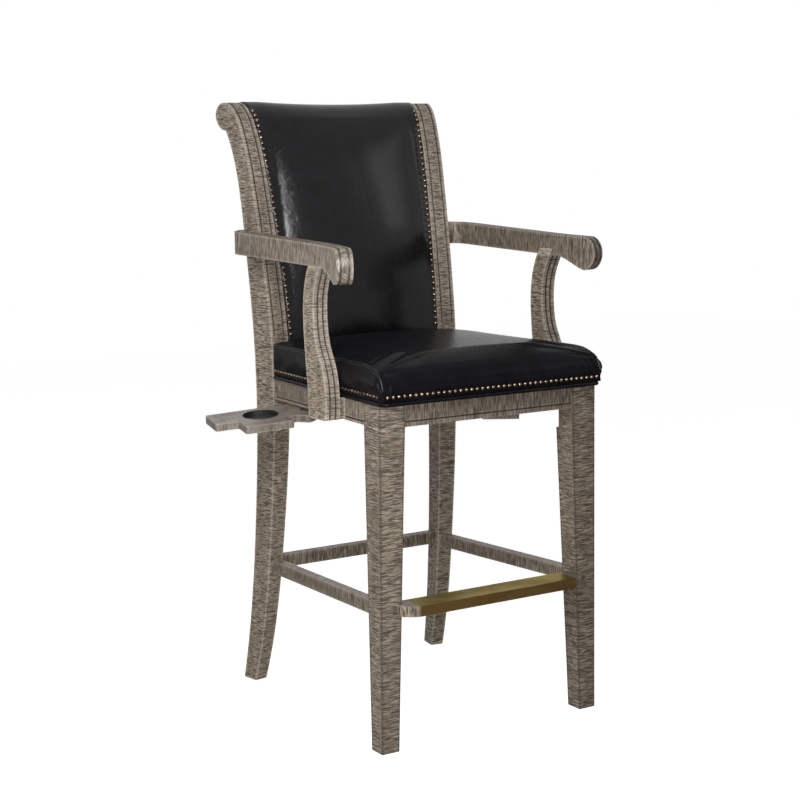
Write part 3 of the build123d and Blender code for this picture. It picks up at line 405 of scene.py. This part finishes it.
# %% Plastics
def plastic(name, colour, roughness, grain_scale=900.0):
    material, shader = start_material(name)
    grain = noise(material, own_place(material, [grain_scale] * 3), 2.0)
    tone = noise(material, own_place(material, [35.0] * 3), 3.0)
    shade = ramp(material, tone, (0.3, tinted(colour, 0.85)), (0.7, colour))
    fill(material, shader, {"Base Color": shade, "Roughness": roughness, "Specular IOR Level": 0.4,
                            "Normal": bump(material, grain, 0.0001, 0.5)})
    return material


dress(plastic("black_liner", (0.012, 0.013, 0.014), 0.45), two("cup_insert"))
# Painted shade: the bushing is coloured near black for the shadow it sits in.
dress(plastic("nylon_painted_shade_black", (0.020, 0.019, 0.018), 0.5), two("tray_bushing"))
dress(plastic("brown_nylon", (0.035, 0.028, 0.022), 0.5), two("front_glide") + two("rear_glide"))

# %% [markdown]
# The covers are near-black leatherette. Its skin has three scales of relief: a fine pebble grain,
# shallow creases a centimetre or two apart, and slow waves from the padding. One noise can't give all
# three, so each has its own texture, and they are stacked from the broad to the fine. The back is
# glossier than the seat, and the sewn seams catch more light than both.

# %% Leatherette
LEATHER_DARK = (0.0032, 0.0027, 0.0036)
LEATHER_LIGHT = (0.0080, 0.0068, 0.0096)


def leatherette(name, crease, roughness, gloss):
    material, shader = start_material(name)
    pebble = add_node(material, "ShaderNodeTexVoronoi",
                      {"Vector": own_place(material, [620.0] * 3), "Scale": 1.0},
                      feature="SMOOTH_F1").outputs["Distance"]
    wrinkle = noise(material, own_place(material, (85.0, 60.0, 45.0)), 5.0, 0.62, 1.1)
    folds = mask(material, add_node(material, "ShaderNodeMath", {0: wrinkle, 1: 0.5, 2: 0.035},
                                    operation="COMPARE").outputs[0], 0.0, 1.0)
    waves = noise(material, own_place(material, (14.0, 14.0, 9.0)), 2.0)
    tone = noise(material, own_place(material, [22.0] * 3), 4.0)
    colour = ramp(material, tone, (0.3, LEATHER_DARK), (0.72, LEATHER_LIGHT))
    rough = spread(material, wrinkle, roughness - 0.035, roughness + 0.05)
    relief = bump(material, waves, 0.0022, 0.22 * crease)
    relief = bump(material, wrinkle, 0.0012, 0.30 * crease, relief)
    relief = bump(material, folds, 0.0003, 0.12 * crease, relief)
    relief = bump(material, pebble, 0.0002, 0.32, relief)
    fill(material, shader, {"Base Color": colour, "Roughness": rough, "Normal": relief,
                            "Specular IOR Level": gloss})
    return material


seat_leather = leatherette("black_leatherette_seat", 1.0, 0.29, 0.04)
seam_leather = leatherette("black_leatherette_seam", 0.4, 0.24, 0.22)
back_leather = leatherette("black_leatherette_back", 0.7, 0.16, 0.20)
trim_leather = leatherette("black_leatherette_welt", 0.5, 0.24, 0.07)
rear_leather = leatherette("black_leatherette_rear", 0.7, 0.30, 0.09)
dress(seat_leather, ["seat_cushion"])
dress(back_leather, ["back_cushion"])
dress(trim_leather, ["seat_piping"])
dress(rear_leather, ["back_panel"])

# %% [markdown]
# A stuffed cover is a closed skin over foam. It could be sculpted by hand, but then it wouldn't
# follow the posts and the seat frame exactly. Here it starts as the skin of a box lattice, and a
# function places every point, so it is closed by construction and fits by calculation.

# %% Helper for a lattice
def lattice_box(name, counts, place_point):
    """A closed mesh: the skin of a lattice of points, each placed from its shares along three ways."""
    across, along, deep = counts
    number, points, faces = {}, [], []

    def point(i, j, k):
        if (i, j, k) not in number:
            number[i, j, k] = len(points)
            points.append(place_point(i / across, j / along, k / deep))
        return number[i, j, k]

    for k, flip in ((0, True), (deep, False)):
        for i in range(across):
            for j in range(along):
                quad = [point(i, j, k), point(i + 1, j, k), point(i + 1, j + 1, k), point(i, j + 1, k)]
                faces.append(quad[::-1] if flip else quad)
    for j, flip in ((0, False), (along, True)):
        for i in range(across):
            for k in range(deep):
                quad = [point(i, j, k), point(i + 1, j, k), point(i + 1, j, k + 1), point(i, j, k + 1)]
                faces.append(quad[::-1] if flip else quad)
    for i, flip in ((0, True), (across, False)):
        for j in range(along):
            for k in range(deep):
                quad = [point(i, j, k), point(i, j + 1, k), point(i, j + 1, k + 1), point(i, j, k + 1)]
                faces.append(quad[::-1] if flip else quad)
    mesh = bpy.data.meshes.new(name)
    mesh.from_pydata(points, [], faces)
    made = bpy.data.objects.new(name, mesh)
    bpy.context.scene.collection.objects.link(made)
    return made


print("lattice helper ready")

# %% [markdown]
# A cover has thousands of points, and moving them one at a time is slow. So all positions are read
# into one array, changed there, and written back. Modifiers are applied by reading the evaluated
# mesh, which needs no operator and no selected object.

# %% Helpers for points and modifiers
def positions(piece):
    flat = np.empty(len(piece.data.vertices) * 3)
    piece.data.vertices.foreach_get("co", flat)
    return flat.reshape(-1, 3)


def set_positions(piece, points):
    piece.data.vertices.foreach_set("co", points.ravel())
    piece.data.update()


def apply_modifiers(piece):
    graph = bpy.context.evaluated_depsgraph_get()
    mesh = bpy.data.meshes.new_from_object(piece.evaluated_get(graph))
    piece.modifiers.clear()
    piece.data = mesh


def smooth(piece):
    piece.data.polygons.foreach_set("use_smooth", [True] * len(piece.data.polygons))


print("point helpers ready")

# %% [markdown]
# Foam pushes the skin outward wherever nothing holds it. A function could fake that swelling, but a
# short cloth simulation with a little pressure finds the soft transitions between held and free
# parts by itself. The distance that each point may move is capped, so the cover can't outgrow the
# foam below it.

# %% Helpers for covers
CLOTH_FRAMES = 20
CLOTH_TENSION, CLOTH_COMPRESSION, CLOTH_BENDING, CLOTH_QUALITY = 22.0, 18.0, 0.6, 6


def inflate(piece, voxel, pressure, cap, hold):
    """Remeshes a cover and lets pressure fill it. hold(points) gives how firmly each point stays."""
    remesh = piece.modifiers.new("even_skin", "REMESH")
    remesh.mode, remesh.voxel_size = "VOXEL", voxel
    apply_modifiers(piece)
    start = positions(piece)
    firm = hold(start)
    group = piece.vertex_groups.new(name="held")
    for index, weight in enumerate(firm):
        if weight > 0.0:
            group.add([index], float(weight), "REPLACE")
    cloth = piece.modifiers.new("cover", "CLOTH")
    cloth.settings.use_pressure = True
    cloth.settings.uniform_pressure_force = pressure
    cloth.settings.effector_weights.gravity = 0.0
    cloth.settings.vertex_group_mass = "held"
    cloth.settings.tension_stiffness = CLOTH_TENSION
    cloth.settings.compression_stiffness = CLOTH_COMPRESSION
    cloth.settings.bending_stiffness = CLOTH_BENDING
    cloth.settings.quality = CLOTH_QUALITY
    cloth.point_cache.frame_start, cloth.point_cache.frame_end = 1, CLOTH_FRAMES
    for moment in range(1, CLOTH_FRAMES + 1):
        bpy.context.scene.frame_set(moment)
    apply_modifiers(piece)
    bpy.context.scene.frame_set(1)
    moved = positions(piece) - start
    length = np.linalg.norm(moved, axis=1)
    share = np.minimum(1.0, cap / np.maximum(length, 1e-9)) * (1.0 - firm)
    set_positions(piece, start + moved * share[:, None])
    print(piece.name, "points:", len(start), "largest move (mm):", round(float(length.max()) * 1000, 1))


def finish_cover(piece, material):
    finer = piece.modifiers.new("finer", "SUBSURF")
    finer.levels = finer.render_levels = 1
    apply_modifiers(piece)
    smooth(piece)
    piece.data.materials.clear()
    piece.data.materials.append(material)


print("cover helpers ready")

# %% [markdown]
# The seat is a foam slab on the seat frame, under a cover whose top panel is sewn to side bands. The
# sides stand almost upright and swell a little towards the front, the top is gently crowned, and at
# the front the top panel rolls over and runs down to the nails. A rounded box would miss all three,
# so each form is a line of measures from front to back, read at the depth of each point.

# %% Lines of the seat
SEAT_FRONT, SEAT_BACK = -0.317, 0.1698
SEAT_LOW = 0.6943
SEAT_POCKET = 0.7226
SEAT_HALF_FRONT, SEAT_HALF_BACK = 0.2606, 0.2336
FRAME_INSET = 0.0058
SEAT_STEPS = 84
# How far the side swells, as (y, distance), and the height of the side seam, as (y, z)
BULGE_LINE = ((-0.317, 0.0120), (-0.250, 0.0105), (-0.100, 0.0060), (0.080, 0.0010), (0.1698, 0.0))
SEAM_LINE = ((-0.317, 0.7140), (-0.312, 0.7262), (-0.303, 0.7392), (-0.284, 0.7535), (-0.250, 0.7580),
             (-0.100, 0.7575), (0.080, 0.7570), (0.1698, 0.7555))
# The top rises from the seams in a rounded shoulder, and then gently to the middle, as (y, rise)
SHOULDER_LINE = ((-0.317, 0.0006), (-0.312, 0.0034), (-0.303, 0.0070), (-0.284, 0.0095), (-0.250, 0.0105),
                 (0.080, 0.0100), (0.1698, 0.0080))
SHOULDER_WIDTH = 0.024
CROWN_LINE = ((-0.317, 0.0004), (-0.303, 0.0016), (-0.284, 0.0028), (-0.250, 0.0045), (-0.100, 0.0065),
              (0.080, 0.0060), (0.1698, 0.0040))


def read_line(line, y):
    """The line's value at y, with the line's corners rounded off."""
    reach = min(0.020, 0.5 * abs(y - SEAT_FRONT))
    near = np.linspace(y - reach, y + reach, 7)
    return float(np.interp(near, [p[0] for p in line], [p[1] for p in line]).mean())


def seat_half(y):
    share = (y - SEAT_FRONT) / (SEAT_BACK - SEAT_FRONT)
    return SEAT_HALF_FRONT + (SEAT_HALF_BACK - SEAT_HALF_FRONT) * share


print("seam height in the middle of the side:", round(read_line(SEAM_LINE, -0.1), 4))


# %% Seat cushion
def seat_point(a, b, c):
    """a runs from left to right, b from front to back, c from the underside up."""
    deep = round(b * SEAT_STEPS)
    y = SEAT_FRONT + FRAME_INSET * min(1, deep / 3) + 0.0003 * min(1, max(0, deep - 3))
    y += (SEAT_BACK - y) * (max(0, deep - 4) / (SEAT_STEPS - 4)) ** 1.3
    half = seat_half(y)
    step = round(abs(2 * a - 1) * SEAT_STEPS / 2)
    rest = half - FRAME_INSET - 0.0003
    from_edge = SEAT_STEPS // 2 - step
    x = half - FRAME_INSET * from_edge / 3 if from_edge < 4 else rest * step / (SEAT_STEPS // 2 - 4)
    side = x / half
    shoulder = math.sqrt(1 - (1 - min(1, (half - x) / SHOULDER_WIDTH)) ** 2)
    top = read_line(SEAM_LINE, y) + read_line(SHOULDER_LINE, y) * shoulder
    top += read_line(CROWN_LINE, y) * (1 - side ** 2)
    low = min(SEAT_POCKET if from_edge > 3 and deep > 3 else SEAT_LOW, top - 0.003)
    z = low + (top - low) * c
    height = min(1, max(0, z - SEAT_LOW - 0.006) / 0.054)
    swell = read_line(BULGE_LINE, y) * math.sin(math.pi * height) ** 2 - 0.0010 * c ** 6
    return math.copysign(x + swell * side, a - 0.5), y, z


seat = lattice_box("seat_cover", (SEAT_STEPS, SEAT_STEPS, 12), seat_point)


def seat_hold(points):
    firm = np.zeros(len(points))
    firm[points[:, 2] < SEAT_LOW + 0.018] = 1.0
    firm[(points[:, 2] < SEAT_POCKET + 0.004) & (np.abs(points[:, 0]) < 0.22)] = 1.0
    firm[points[:, 1] > SEAT_BACK - 0.006] = 1.0
    edge = np.array([seat_half(y) for y in points[:, 1]])
    rim = np.array([read_line(SEAM_LINE, y) for y in points[:, 1]])
    near = np.hypot(edge - np.abs(points[:, 0]), points[:, 2] - rim)
    return np.maximum(firm, np.clip(1.2 - near / 0.010, 0, 0.9))


inflate(seat, 0.004, 3.0, 0.0045, seat_hold)

# %% [markdown]
# The nails pull the seat's cover in a little between its stuffed parts, and the front corners show
# gathers where the seam comes down. More pressure in the simulation wouldn't put them at the nails,
# so these small waves are pressed in by moving points, at the height and pitch of the nails.

# %% Gathers of the seat
SEAT_NAIL_HEIGHT, SEAT_NAIL_PITCH = 0.722, 0.0128
LIP_REACH = 0.0034
PLEAT_PUSH, PLEAT_LIFT = 0.0008, 0.0004
CORNER_INSET, CORNER_WIDTH, CORNER_DEPTH = 0.016, 0.016, 0.020


def seat_gathers(points):
    """The lip over the frame is pulled straight, then the gathers are pressed in."""
    moved = points.copy()
    x, y, z = moved.T
    wall = seat_half(y)
    lip = (z < SEAT_LOW + 0.006) & (z > SEAT_LOW - 0.003)
    at_side = lip & (wall - np.abs(x) < LIP_REACH)
    x[at_side] = np.sign(x[at_side]) * wall[at_side]
    y[lip & (y - SEAT_FRONT < LIP_REACH)] = SEAT_FRONT
    z[z < SEAT_LOW + 0.0026] = SEAT_LOW
    edge = seat_half(y)
    rim = np.array([read_line(SEAM_LINE, value) for value in y])
    low_band = np.exp(-((z - SEAT_NAIL_HEIGHT) / 0.010) ** 2)
    front_face = np.clip(1 - (y - SEAT_FRONT) / 0.014, 0, 1)
    wave = np.sin(x / SEAT_NAIL_PITCH * 2 * np.pi * 0.5) * 0.0005 + np.sin(x * 71.0 + 1.3) * 0.0006
    moved[:, 1] += wave * low_band * front_face
    side_face = np.clip(1 - (edge - np.abs(x)) / 0.010, 0, 1) * (1 - front_face)
    moved[:, 0] += np.sign(x) * np.sin(y * 83.0 + 0.4) * 0.0006 * low_band * side_face
    corner = np.exp(-((np.abs(x) - edge + CORNER_INSET) / CORNER_WIDTH) ** 2)
    corner *= np.exp(-((y - SEAT_FRONT - 0.010) / CORNER_DEPTH) ** 2)
    pleat = np.sin((np.abs(x) - edge) * 430.0 + z * 120.0)
    moved[:, 1] -= pleat * PLEAT_PUSH * corner
    moved[:, 2] += pleat * PLEAT_LIFT * corner
    ripple = np.sin(x * 19.0 + 2.0) * np.sin(y * 13.0 + 0.7) * 0.0005
    top = np.clip((z - rim - 0.004) / 0.006, 0, 1)
    moved[:, 2] += ripple * top
    return moved


set_positions(seat, seat_gathers(positions(seat)))
finish_cover(seat, seat_leather)
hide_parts("seat_cushion")
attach(seat, "frame")
print("seat cover done")

# %% [markdown]
# The back is padding on a curved board between the posts, rolled over a round core at the top. Along
# each post a flat strip is nailed down, and the padding swells up just inside it. A bent slab would
# stand off the posts, because they turn outward. So the cover's front and its hidden rear are two
# chains of points in side view, the lattice fills between them, and its width is read from the posts.

# %% Lines of the back
BACK_FRONT_LINE = ((0.1715, 0.7000), (0.1870, 0.8500), (0.2145, 1.0000), (0.2380, 1.1050), (0.2680, 1.2100),
                   (0.2885, 1.2500), (0.3220, 1.2715), (0.3510, 1.2590), (0.3520, 1.2260))
BACK_REAR_LINE = ((0.1815, 0.7000), (0.1970, 0.8500), (0.2245, 1.0000), (0.2480, 1.1050), (0.2780, 1.2080),
                  (0.2985, 1.2440), (0.3200, 1.2600), (0.3380, 1.2460), (0.3360, 1.2215))
BACK_CROWN_LINE = (0.0, 0.6, 1.0, 0.92, 0.5, 0.2, 0.0, 0.0, 0.0)
BACK_CROWN = 0.022
BACK_FLAT_HALF = 0.176
BACK_TOP_DIP = 0.0055
POST_TURN = math.radians(9.62)
POST_CORNER = (0.23426, 0.17017)
POST_THICK_LOW, POST_THICK_HIGH = 0.044, 0.042
POST_LOW, POST_HIGH = 0.6414, 1.269


def along_chain(points, share):
    """A smooth curve (Catmull-Rom) through a chain of (y, z) points, at a share of its count."""
    spot = share * (len(points) - 1)
    k = min(int(spot), len(points) - 2)
    t = spot - k
    p1, p2 = np.array(points[k]), np.array(points[k + 1])
    p0 = np.array(points[k - 1]) if k else 2 * p1 - p2
    p3 = np.array(points[k + 2]) if k + 2 < len(points) else 2 * p2 - p1
    return 0.5 * (2 * p1 + (p2 - p0) * t + (2 * p0 - 5 * p1 + 4 * p2 - p3) * t ** 2
                  + (3 * p1 - p0 - 3 * p2 + p3) * t ** 3)


def between_half(y, z):
    """Half the width between the two posts at y and z."""
    share = (z - POST_LOW) / (POST_HIGH - POST_LOW)
    thick = POST_THICK_LOW + (POST_THICK_HIGH - POST_THICK_LOW) * share
    return POST_CORNER[0] + ((y - POST_CORNER[1]) * math.sin(POST_TURN) - thick) / math.cos(POST_TURN)


print("width between the posts at the seat:", round(2 * between_half(*BACK_FRONT_LINE[0]), 4))


# %% Back cushion
def back_point(a, b, c):
    """a runs from left to right, b up the front and over the roll, c from the board outward."""
    side = 2 * a - 1
    front, rear = along_chain(BACK_FRONT_LINE, b), along_chain(BACK_REAR_LINE, b)
    x = side * between_half(*front)
    share = min(1.0, abs(x) / BACK_FLAT_HALF)
    swell = (1 - share ** 2.5) ** 0.75 * float(np.interp(b * 8, range(9), BACK_CROWN_LINE)) * BACK_CROWN
    front = front - np.array((swell, 0.0))
    if b > 0.5:
        front = front - np.array((0.0, BACK_TOP_DIP * (1 - share ** 2) * math.sin(math.pi * (b - 0.5) / 0.5)))
    y, z = rear + (front - rear) * c
    return side * (between_half(y, z) - 0.0002), float(y), float(z)


back = lattice_box("back_cover", (72, 110, 4), back_point)


def back_hold(points):
    firm = np.zeros(len(points))
    flat = np.abs(points[:, 0]) > BACK_FLAT_HALF - 0.004
    firm[flat] = 1.0
    front_y = np.interp(points[:, 2], [p[1] for p in BACK_FRONT_LINE[:5]], [p[0] for p in BACK_FRONT_LINE[:5]])
    behind = (points[:, 1] > front_y + 0.004) & (points[:, 2] < 1.215)
    firm[behind | (points[:, 2] < 0.706) | (points[:, 2] > 1.235)] = 1.0
    return firm


inflate(back, 0.005, 3.0, 0.004, back_hold)

# %% [markdown]
# Between the nails the back's cover gathers into small pleats that catch the light, strongest
# beside the upper part of each post. As on the seat they are pressed in by moving points. A second,
# slower wave across the padding breaks up the tall highlight, as hand-stuffed foam does.

# %% Gathers of the back
BACK_NAIL_PITCH, BACK_NAIL_INSET = 0.0129, 0.0145
PLEATS_HEIGHT, PLEATS_SPREAD = 1.13, 0.09


def back_gathers(points):
    moved = points.copy()
    x, y, z = points.T
    front_y = np.interp(z, [p[1] for p in BACK_FRONT_LINE[:5]], [p[0] for p in BACK_FRONT_LINE[:5]])
    front = np.clip(1 - (y - front_y - 0.002) / 0.004, 0, 1) * (z < 1.225)
    from_nails = np.array([between_half(*pair) for pair in zip(front_y, z)]) - np.abs(x) - BACK_NAIL_INSET
    band = np.exp(-(from_nails / 0.0050) ** 2)
    along = z / BACK_NAIL_PITCH * 2 * np.pi
    size = 0.0003 + 0.0009 * np.exp(-((z - PLEATS_HEIGHT) / PLEATS_SPREAD) ** 2)
    moved[:, 1] -= (0.6 + np.sin(along + np.sin(z * 37.0))) * size * band * front
    drape = np.sin(x * 27.0 + 0.8) * 0.0007 + np.sin(x * 61.0 + z * 9.0) * 0.00035
    moved[:, 1] -= drape * front * np.clip(1 - np.abs(x) / BACK_FLAT_HALF, 0, 1)
    return moved


set_positions(back, back_gathers(positions(back)))
finish_cover(back, back_leather)
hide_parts("back_cushion")
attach(back, "frame")
print("back cover done")

# %% [markdown]
# Where the top panel meets the side bands the cover has a double-stitched seam: the edges are folded
# under and sewn down on both sides, which leaves two slim ridges with a dark line between them. A
# bump texture would look flat against the light, so each ridge is a thin tube, laid on the finished
# cover by looking up the nearest point of its surface.

# %% Helpers for seams
RIDGE_RADIUS = 0.0015
SEAM_STEPS = 96
SEAM_FRONT, SEAM_BACK = SEAT_FRONT + 0.0015, SEAT_BACK - 0.004


def surface_of(piece):
    mesh = bmesh.new()
    mesh.from_mesh(piece.data)
    tree = BVHTree.FromBMesh(mesh)
    mesh.free()
    return tree


def seam_points(side, inward, lift):
    """Points on the cover near the seam, each with its normal: some way inward and up from it."""
    points = []
    for k in range(SEAM_STEPS + 1):
        y = SEAM_BACK + (SEAM_FRONT - SEAM_BACK) * k / SEAM_STEPS
        rough = Vector((side * (seat_half(y) - inward), y, read_line(SEAM_LINE, y) + lift))
        spot, normal, _, _ = seat_surface.find_nearest(rough)
        points.append((spot, normal))
    return points


def tube(name, points, radius, material):
    curve = bpy.data.curves.new(name, "CURVE")
    curve.dimensions, curve.bevel_depth, curve.bevel_resolution = "3D", radius, 3
    curve.use_fill_caps = True
    line = curve.splines.new("POLY")
    line.points.add(len(points) - 1)
    for place, point in zip(line.points, points):
        place.co = (*point, 1.0)
    made = bpy.data.objects.new(name, curve)
    bpy.context.scene.collection.objects.link(made)
    graph = bpy.context.evaluated_depsgraph_get()
    mesh = bpy.data.meshes.new_from_object(made.evaluated_get(graph))
    bpy.data.objects.remove(made)
    mesh.name = name
    piece = bpy.data.objects.new(name, mesh)
    bpy.context.scene.collection.objects.link(piece)
    smooth(piece)
    mesh.materials.clear()
    mesh.materials.append(material)
    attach(piece, "frame")


seat_surface = surface_of(seat)
print("seam runs from", round(SEAM_FRONT, 4), "to", round(SEAM_BACK, 4))

# %% [markdown]
# The stitches are tiny rounded bars on the crest of each ridge. An array along a curve would also
# space them, but it ends up as one object per ridge. Stretched small spheres in one mesh stay light.

# %% Seams and stitches of the seat
# Each ridge lies this far inward and up from the seam
RIDGE_OFFSETS = ((0.0012, 0.0045), (0.0, 0.0))
# How high a ridge and its stitches sit, in radii of the ridge
RIDGE_LIFT, STITCH_LIFT = 0.45, 1.45
STITCH_STEP, STITCH_LENGTH, STITCH_RADIUS = 0.0052, 0.0034, 0.00042
stitches, stitch_count = bmesh.new(), 0
for side, side_name in ((-1, "left"), (1, "right")):
    for row, (inward, lift) in enumerate(RIDGE_OFFSETS):
        laid = seam_points(side, inward, lift)
        tube(f"seat_seam_{side_name}_{row + 1}", [p + n * RIDGE_RADIUS * RIDGE_LIFT for p, n in laid],
             RIDGE_RADIUS, seam_leather)
        run = 0.0
        for (first, normal), (last, _) in zip(laid, laid[1:]):
            run += (last - first).length
            if run < STITCH_STEP:
                continue
            run = 0.0
            way = (last - first).normalized()
            across = way.cross(normal).normalized()
            middle = last + normal * (RIDGE_RADIUS * STITCH_LIFT + STITCH_RADIUS * 0.4)
            bar = bmesh.ops.create_uvsphere(stitches, u_segments=8, v_segments=6, radius=STITCH_RADIUS)
            turn = Matrix((across, normal, way)).transposed().to_4x4()
            stretch = Matrix.Diagonal((1.0, 1.0, STITCH_LENGTH / STITCH_RADIUS / 2, 1.0))
            bmesh.ops.transform(stitches, matrix=Matrix.Translation(middle) @ turn @ stretch, verts=bar["verts"])
            stitch_count += 1
thread_mesh = bpy.data.meshes.new("seat_stitches")
stitches.to_mesh(thread_mesh)
stitches.free()
thread = bpy.data.objects.new("seat_stitches", thread_mesh)
bpy.context.scene.collection.objects.link(thread)
smooth(thread)
thread_mesh.materials.append(plastic("black_thread", (0.02, 0.018, 0.02), 0.55, 2500.0))
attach(thread, "frame")
print("stitches:", stitch_count)

# %% [markdown]
# The edges of a CAD solid are perfectly sharp. A real edge is sanded a little round, and that thin
# strip catches the light. Rounding in the CAD would add many faces, so most wooden pieces get a bevel
# modifier here, on their sharp edges only and about as wide as sandpaper leaves it.

# %% Eased edges
EASED_ANGLE = math.radians(38)
EASED = {"front_leg": 0.0012, "side_apron": 0.0008, "side_stretcher": 0.0010, "armrest": 0.0024,
         "arm_support": 0.0018, "support_spacer": 0.0010, "rear_post": 0.0018, "cue_tray": 0.0012}
for base, width in EASED.items():
    for name in two(base):
        eased = solids[name].modifiers.new("eased_edges", "BEVEL")
        eased.width, eased.segments = width, 2
        eased.limit_method, eased.angle_limit = "ANGLE", EASED_ANGLE
print("eased edges on", len(EASED) * 2, "solids")

# %% [markdown]
# The chair stands in a white studio. A world that bright would wash the wood out, so the world shows
# its white only to the camera and in reflections, and lights the chair much less.

# %% White surround
WORLD_LIGHT = 0.12


def studio_world():
    world = bpy.data.worlds.new("white_studio")
    bpy.context.scene.world = world
    world.use_nodes = True
    tree = world.node_tree
    tree.nodes.clear()
    path = tree.nodes.new("ShaderNodeLightPath")
    seen = tree.nodes.new("ShaderNodeMath")
    seen.operation = "MAXIMUM"
    tree.links.new(path.outputs["Is Camera Ray"], seen.inputs[0])
    tree.links.new(path.outputs["Is Glossy Ray"], seen.inputs[1])
    shown = tree.nodes.new("ShaderNodeMath")
    shown.operation = "MAXIMUM"
    tree.links.new(seen.outputs[0], shown.inputs[0])
    tree.links.new(path.outputs["Is Transmission Ray"], shown.inputs[1])
    strength = tree.nodes.new("ShaderNodeMapRange")
    strength.inputs["To Min"].default_value = WORLD_LIGHT
    strength.inputs["To Max"].default_value = 1.0
    tree.links.new(shown.outputs[0], strength.inputs["Value"])
    background = tree.nodes.new("ShaderNodeBackground")
    background.inputs["Color"].default_value = (1.0, 1.0, 1.0, 1.0)
    tree.links.new(strength.outputs["Result"], background.inputs["Strength"])
    output = tree.nodes.new("ShaderNodeOutputWorld")
    tree.links.new(background.outputs["Background"], output.inputs["Surface"])


studio_world()
print("world light:", WORLD_LIGHT)

# %% [markdown]
# Soft area lamps light the chair, mostly from the left. A tall narrow lamp draws the long upright
# highlight on the back. Bright enough for that, it would also bleach the wood, so only reflections
# see it.

# %% Lamps
def lamp(name, place, target, width, height, power, only_glossy=False):
    light = bpy.data.lights.new(name, "AREA")
    light.shape, light.size, light.size_y, light.energy = "RECTANGLE", width, height, power
    made = bpy.data.objects.new(name, light)
    made.location = place
    made.rotation_euler = (Vector(target) - Vector(place)).to_track_quat("-Z", "Y").to_euler()
    made.visible_camera = False
    made.visible_diffuse = not only_glossy
    bpy.context.scene.collection.objects.link(made)


lamp("key_lamp", (-1.25, -0.82, 1.50), (-0.2, 0.0, 0.75), 0.6, 0.9, 17.5)
lamp("low_lamp", (-0.62, -0.95, 0.60), (-0.25, -0.3, 0.45), 0.3, 0.4, 3.3)
lamp("strip_lamp", (-0.57, -1.64, 1.55), (-0.17, 0.22, 1.02), 0.13, 1.25, 50.0, only_glossy=True)
lamp("right_lamp", (1.50, -1.15, 1.85), (0.1, 0.0, 0.9), 0.5, 0.9, 2.5)
lamp("top_lamp", (-0.2, 0.1, 3.2), (0.0, 0.0, 0.6), 1.4, 1.4, 5.0)
print("lamps:", len(bpy.data.lights))

# %% [markdown]
# The floor is a wide plain sheet that carries the chair's shadow. To the camera it glows a little, so
# that it fades into the white surround and leaves no horizon.

# %% Floor
FLOOR_HALF, FLOOR_GLOW = 6.0, 0.86
floor_mesh = bpy.data.meshes.new("floor")
floor_mesh.from_pydata([(-FLOOR_HALF, -FLOOR_HALF, 0), (FLOOR_HALF, -FLOOR_HALF, 0),
                        (FLOOR_HALF, FLOOR_HALF, 0), (-FLOOR_HALF, FLOOR_HALF, 0)], [], [(0, 1, 2, 3)])
floor = bpy.data.objects.new("floor", floor_mesh)
bpy.context.scene.collection.objects.link(floor)
floor_paint, floor_shader = start_material("pale_floor")
floor_path = add_node(floor_paint, "ShaderNodeLightPath", {}).outputs["Is Camera Ray"]
fill(floor_paint, floor_shader, {"Base Color": (0.86, 0.86, 0.86, 1.0), "Roughness": 0.9, "Specular IOR Level": 0.1,
                                 "Emission Color": (1.0, 1.0, 1.0, 1.0),
                                 "Emission Strength": scaled(floor_paint, floor_path, FLOOR_GLOW)})
floor_mesh.materials.append(floor_paint)
print("floor side:", 2 * FLOOR_HALF)

# %% [markdown]
# The camera stands left of the chair's front, a little above the arms, and looks slightly down. It
# could be placed by eye. Here its place, turn and lens were solved from straight lines of the chair
# that are parallel in reality, so the render can be laid over a picture of the real one.

# %% Camera
CAMERA_PLACE = (-1.89683, -2.98600, 1.16744)
CAMERA_TURN, CAMERA_PITCH, CAMERA_ROLL = math.radians(-32.1), math.radians(8.47), math.radians(-0.69)
CAMERA_LENS = 76.0
ahead = Vector((-math.sin(CAMERA_TURN) * math.cos(CAMERA_PITCH), math.cos(CAMERA_TURN) * math.cos(CAMERA_PITCH),
                -math.sin(CAMERA_PITCH)))
level = ahead.cross(Vector((0, 0, 1))).normalized()
above = level.cross(ahead)
right = level * math.cos(CAMERA_ROLL) + above * math.sin(CAMERA_ROLL)
up = above * math.cos(CAMERA_ROLL) - level * math.sin(CAMERA_ROLL)
lens = bpy.data.cameras.new("camera")
lens.lens, lens.sensor_width = CAMERA_LENS, 36.0
camera = bpy.data.objects.new("camera", lens)
camera.matrix_world = Matrix.Translation(CAMERA_PLACE) @ Matrix((right, up, -ahead)).transposed().to_4x4()
bpy.context.scene.collection.objects.link(camera)
bpy.context.scene.camera = camera
bpy.context.scene.view_settings.view_transform = "Standard"
print("camera at", CAMERA_PLACE)
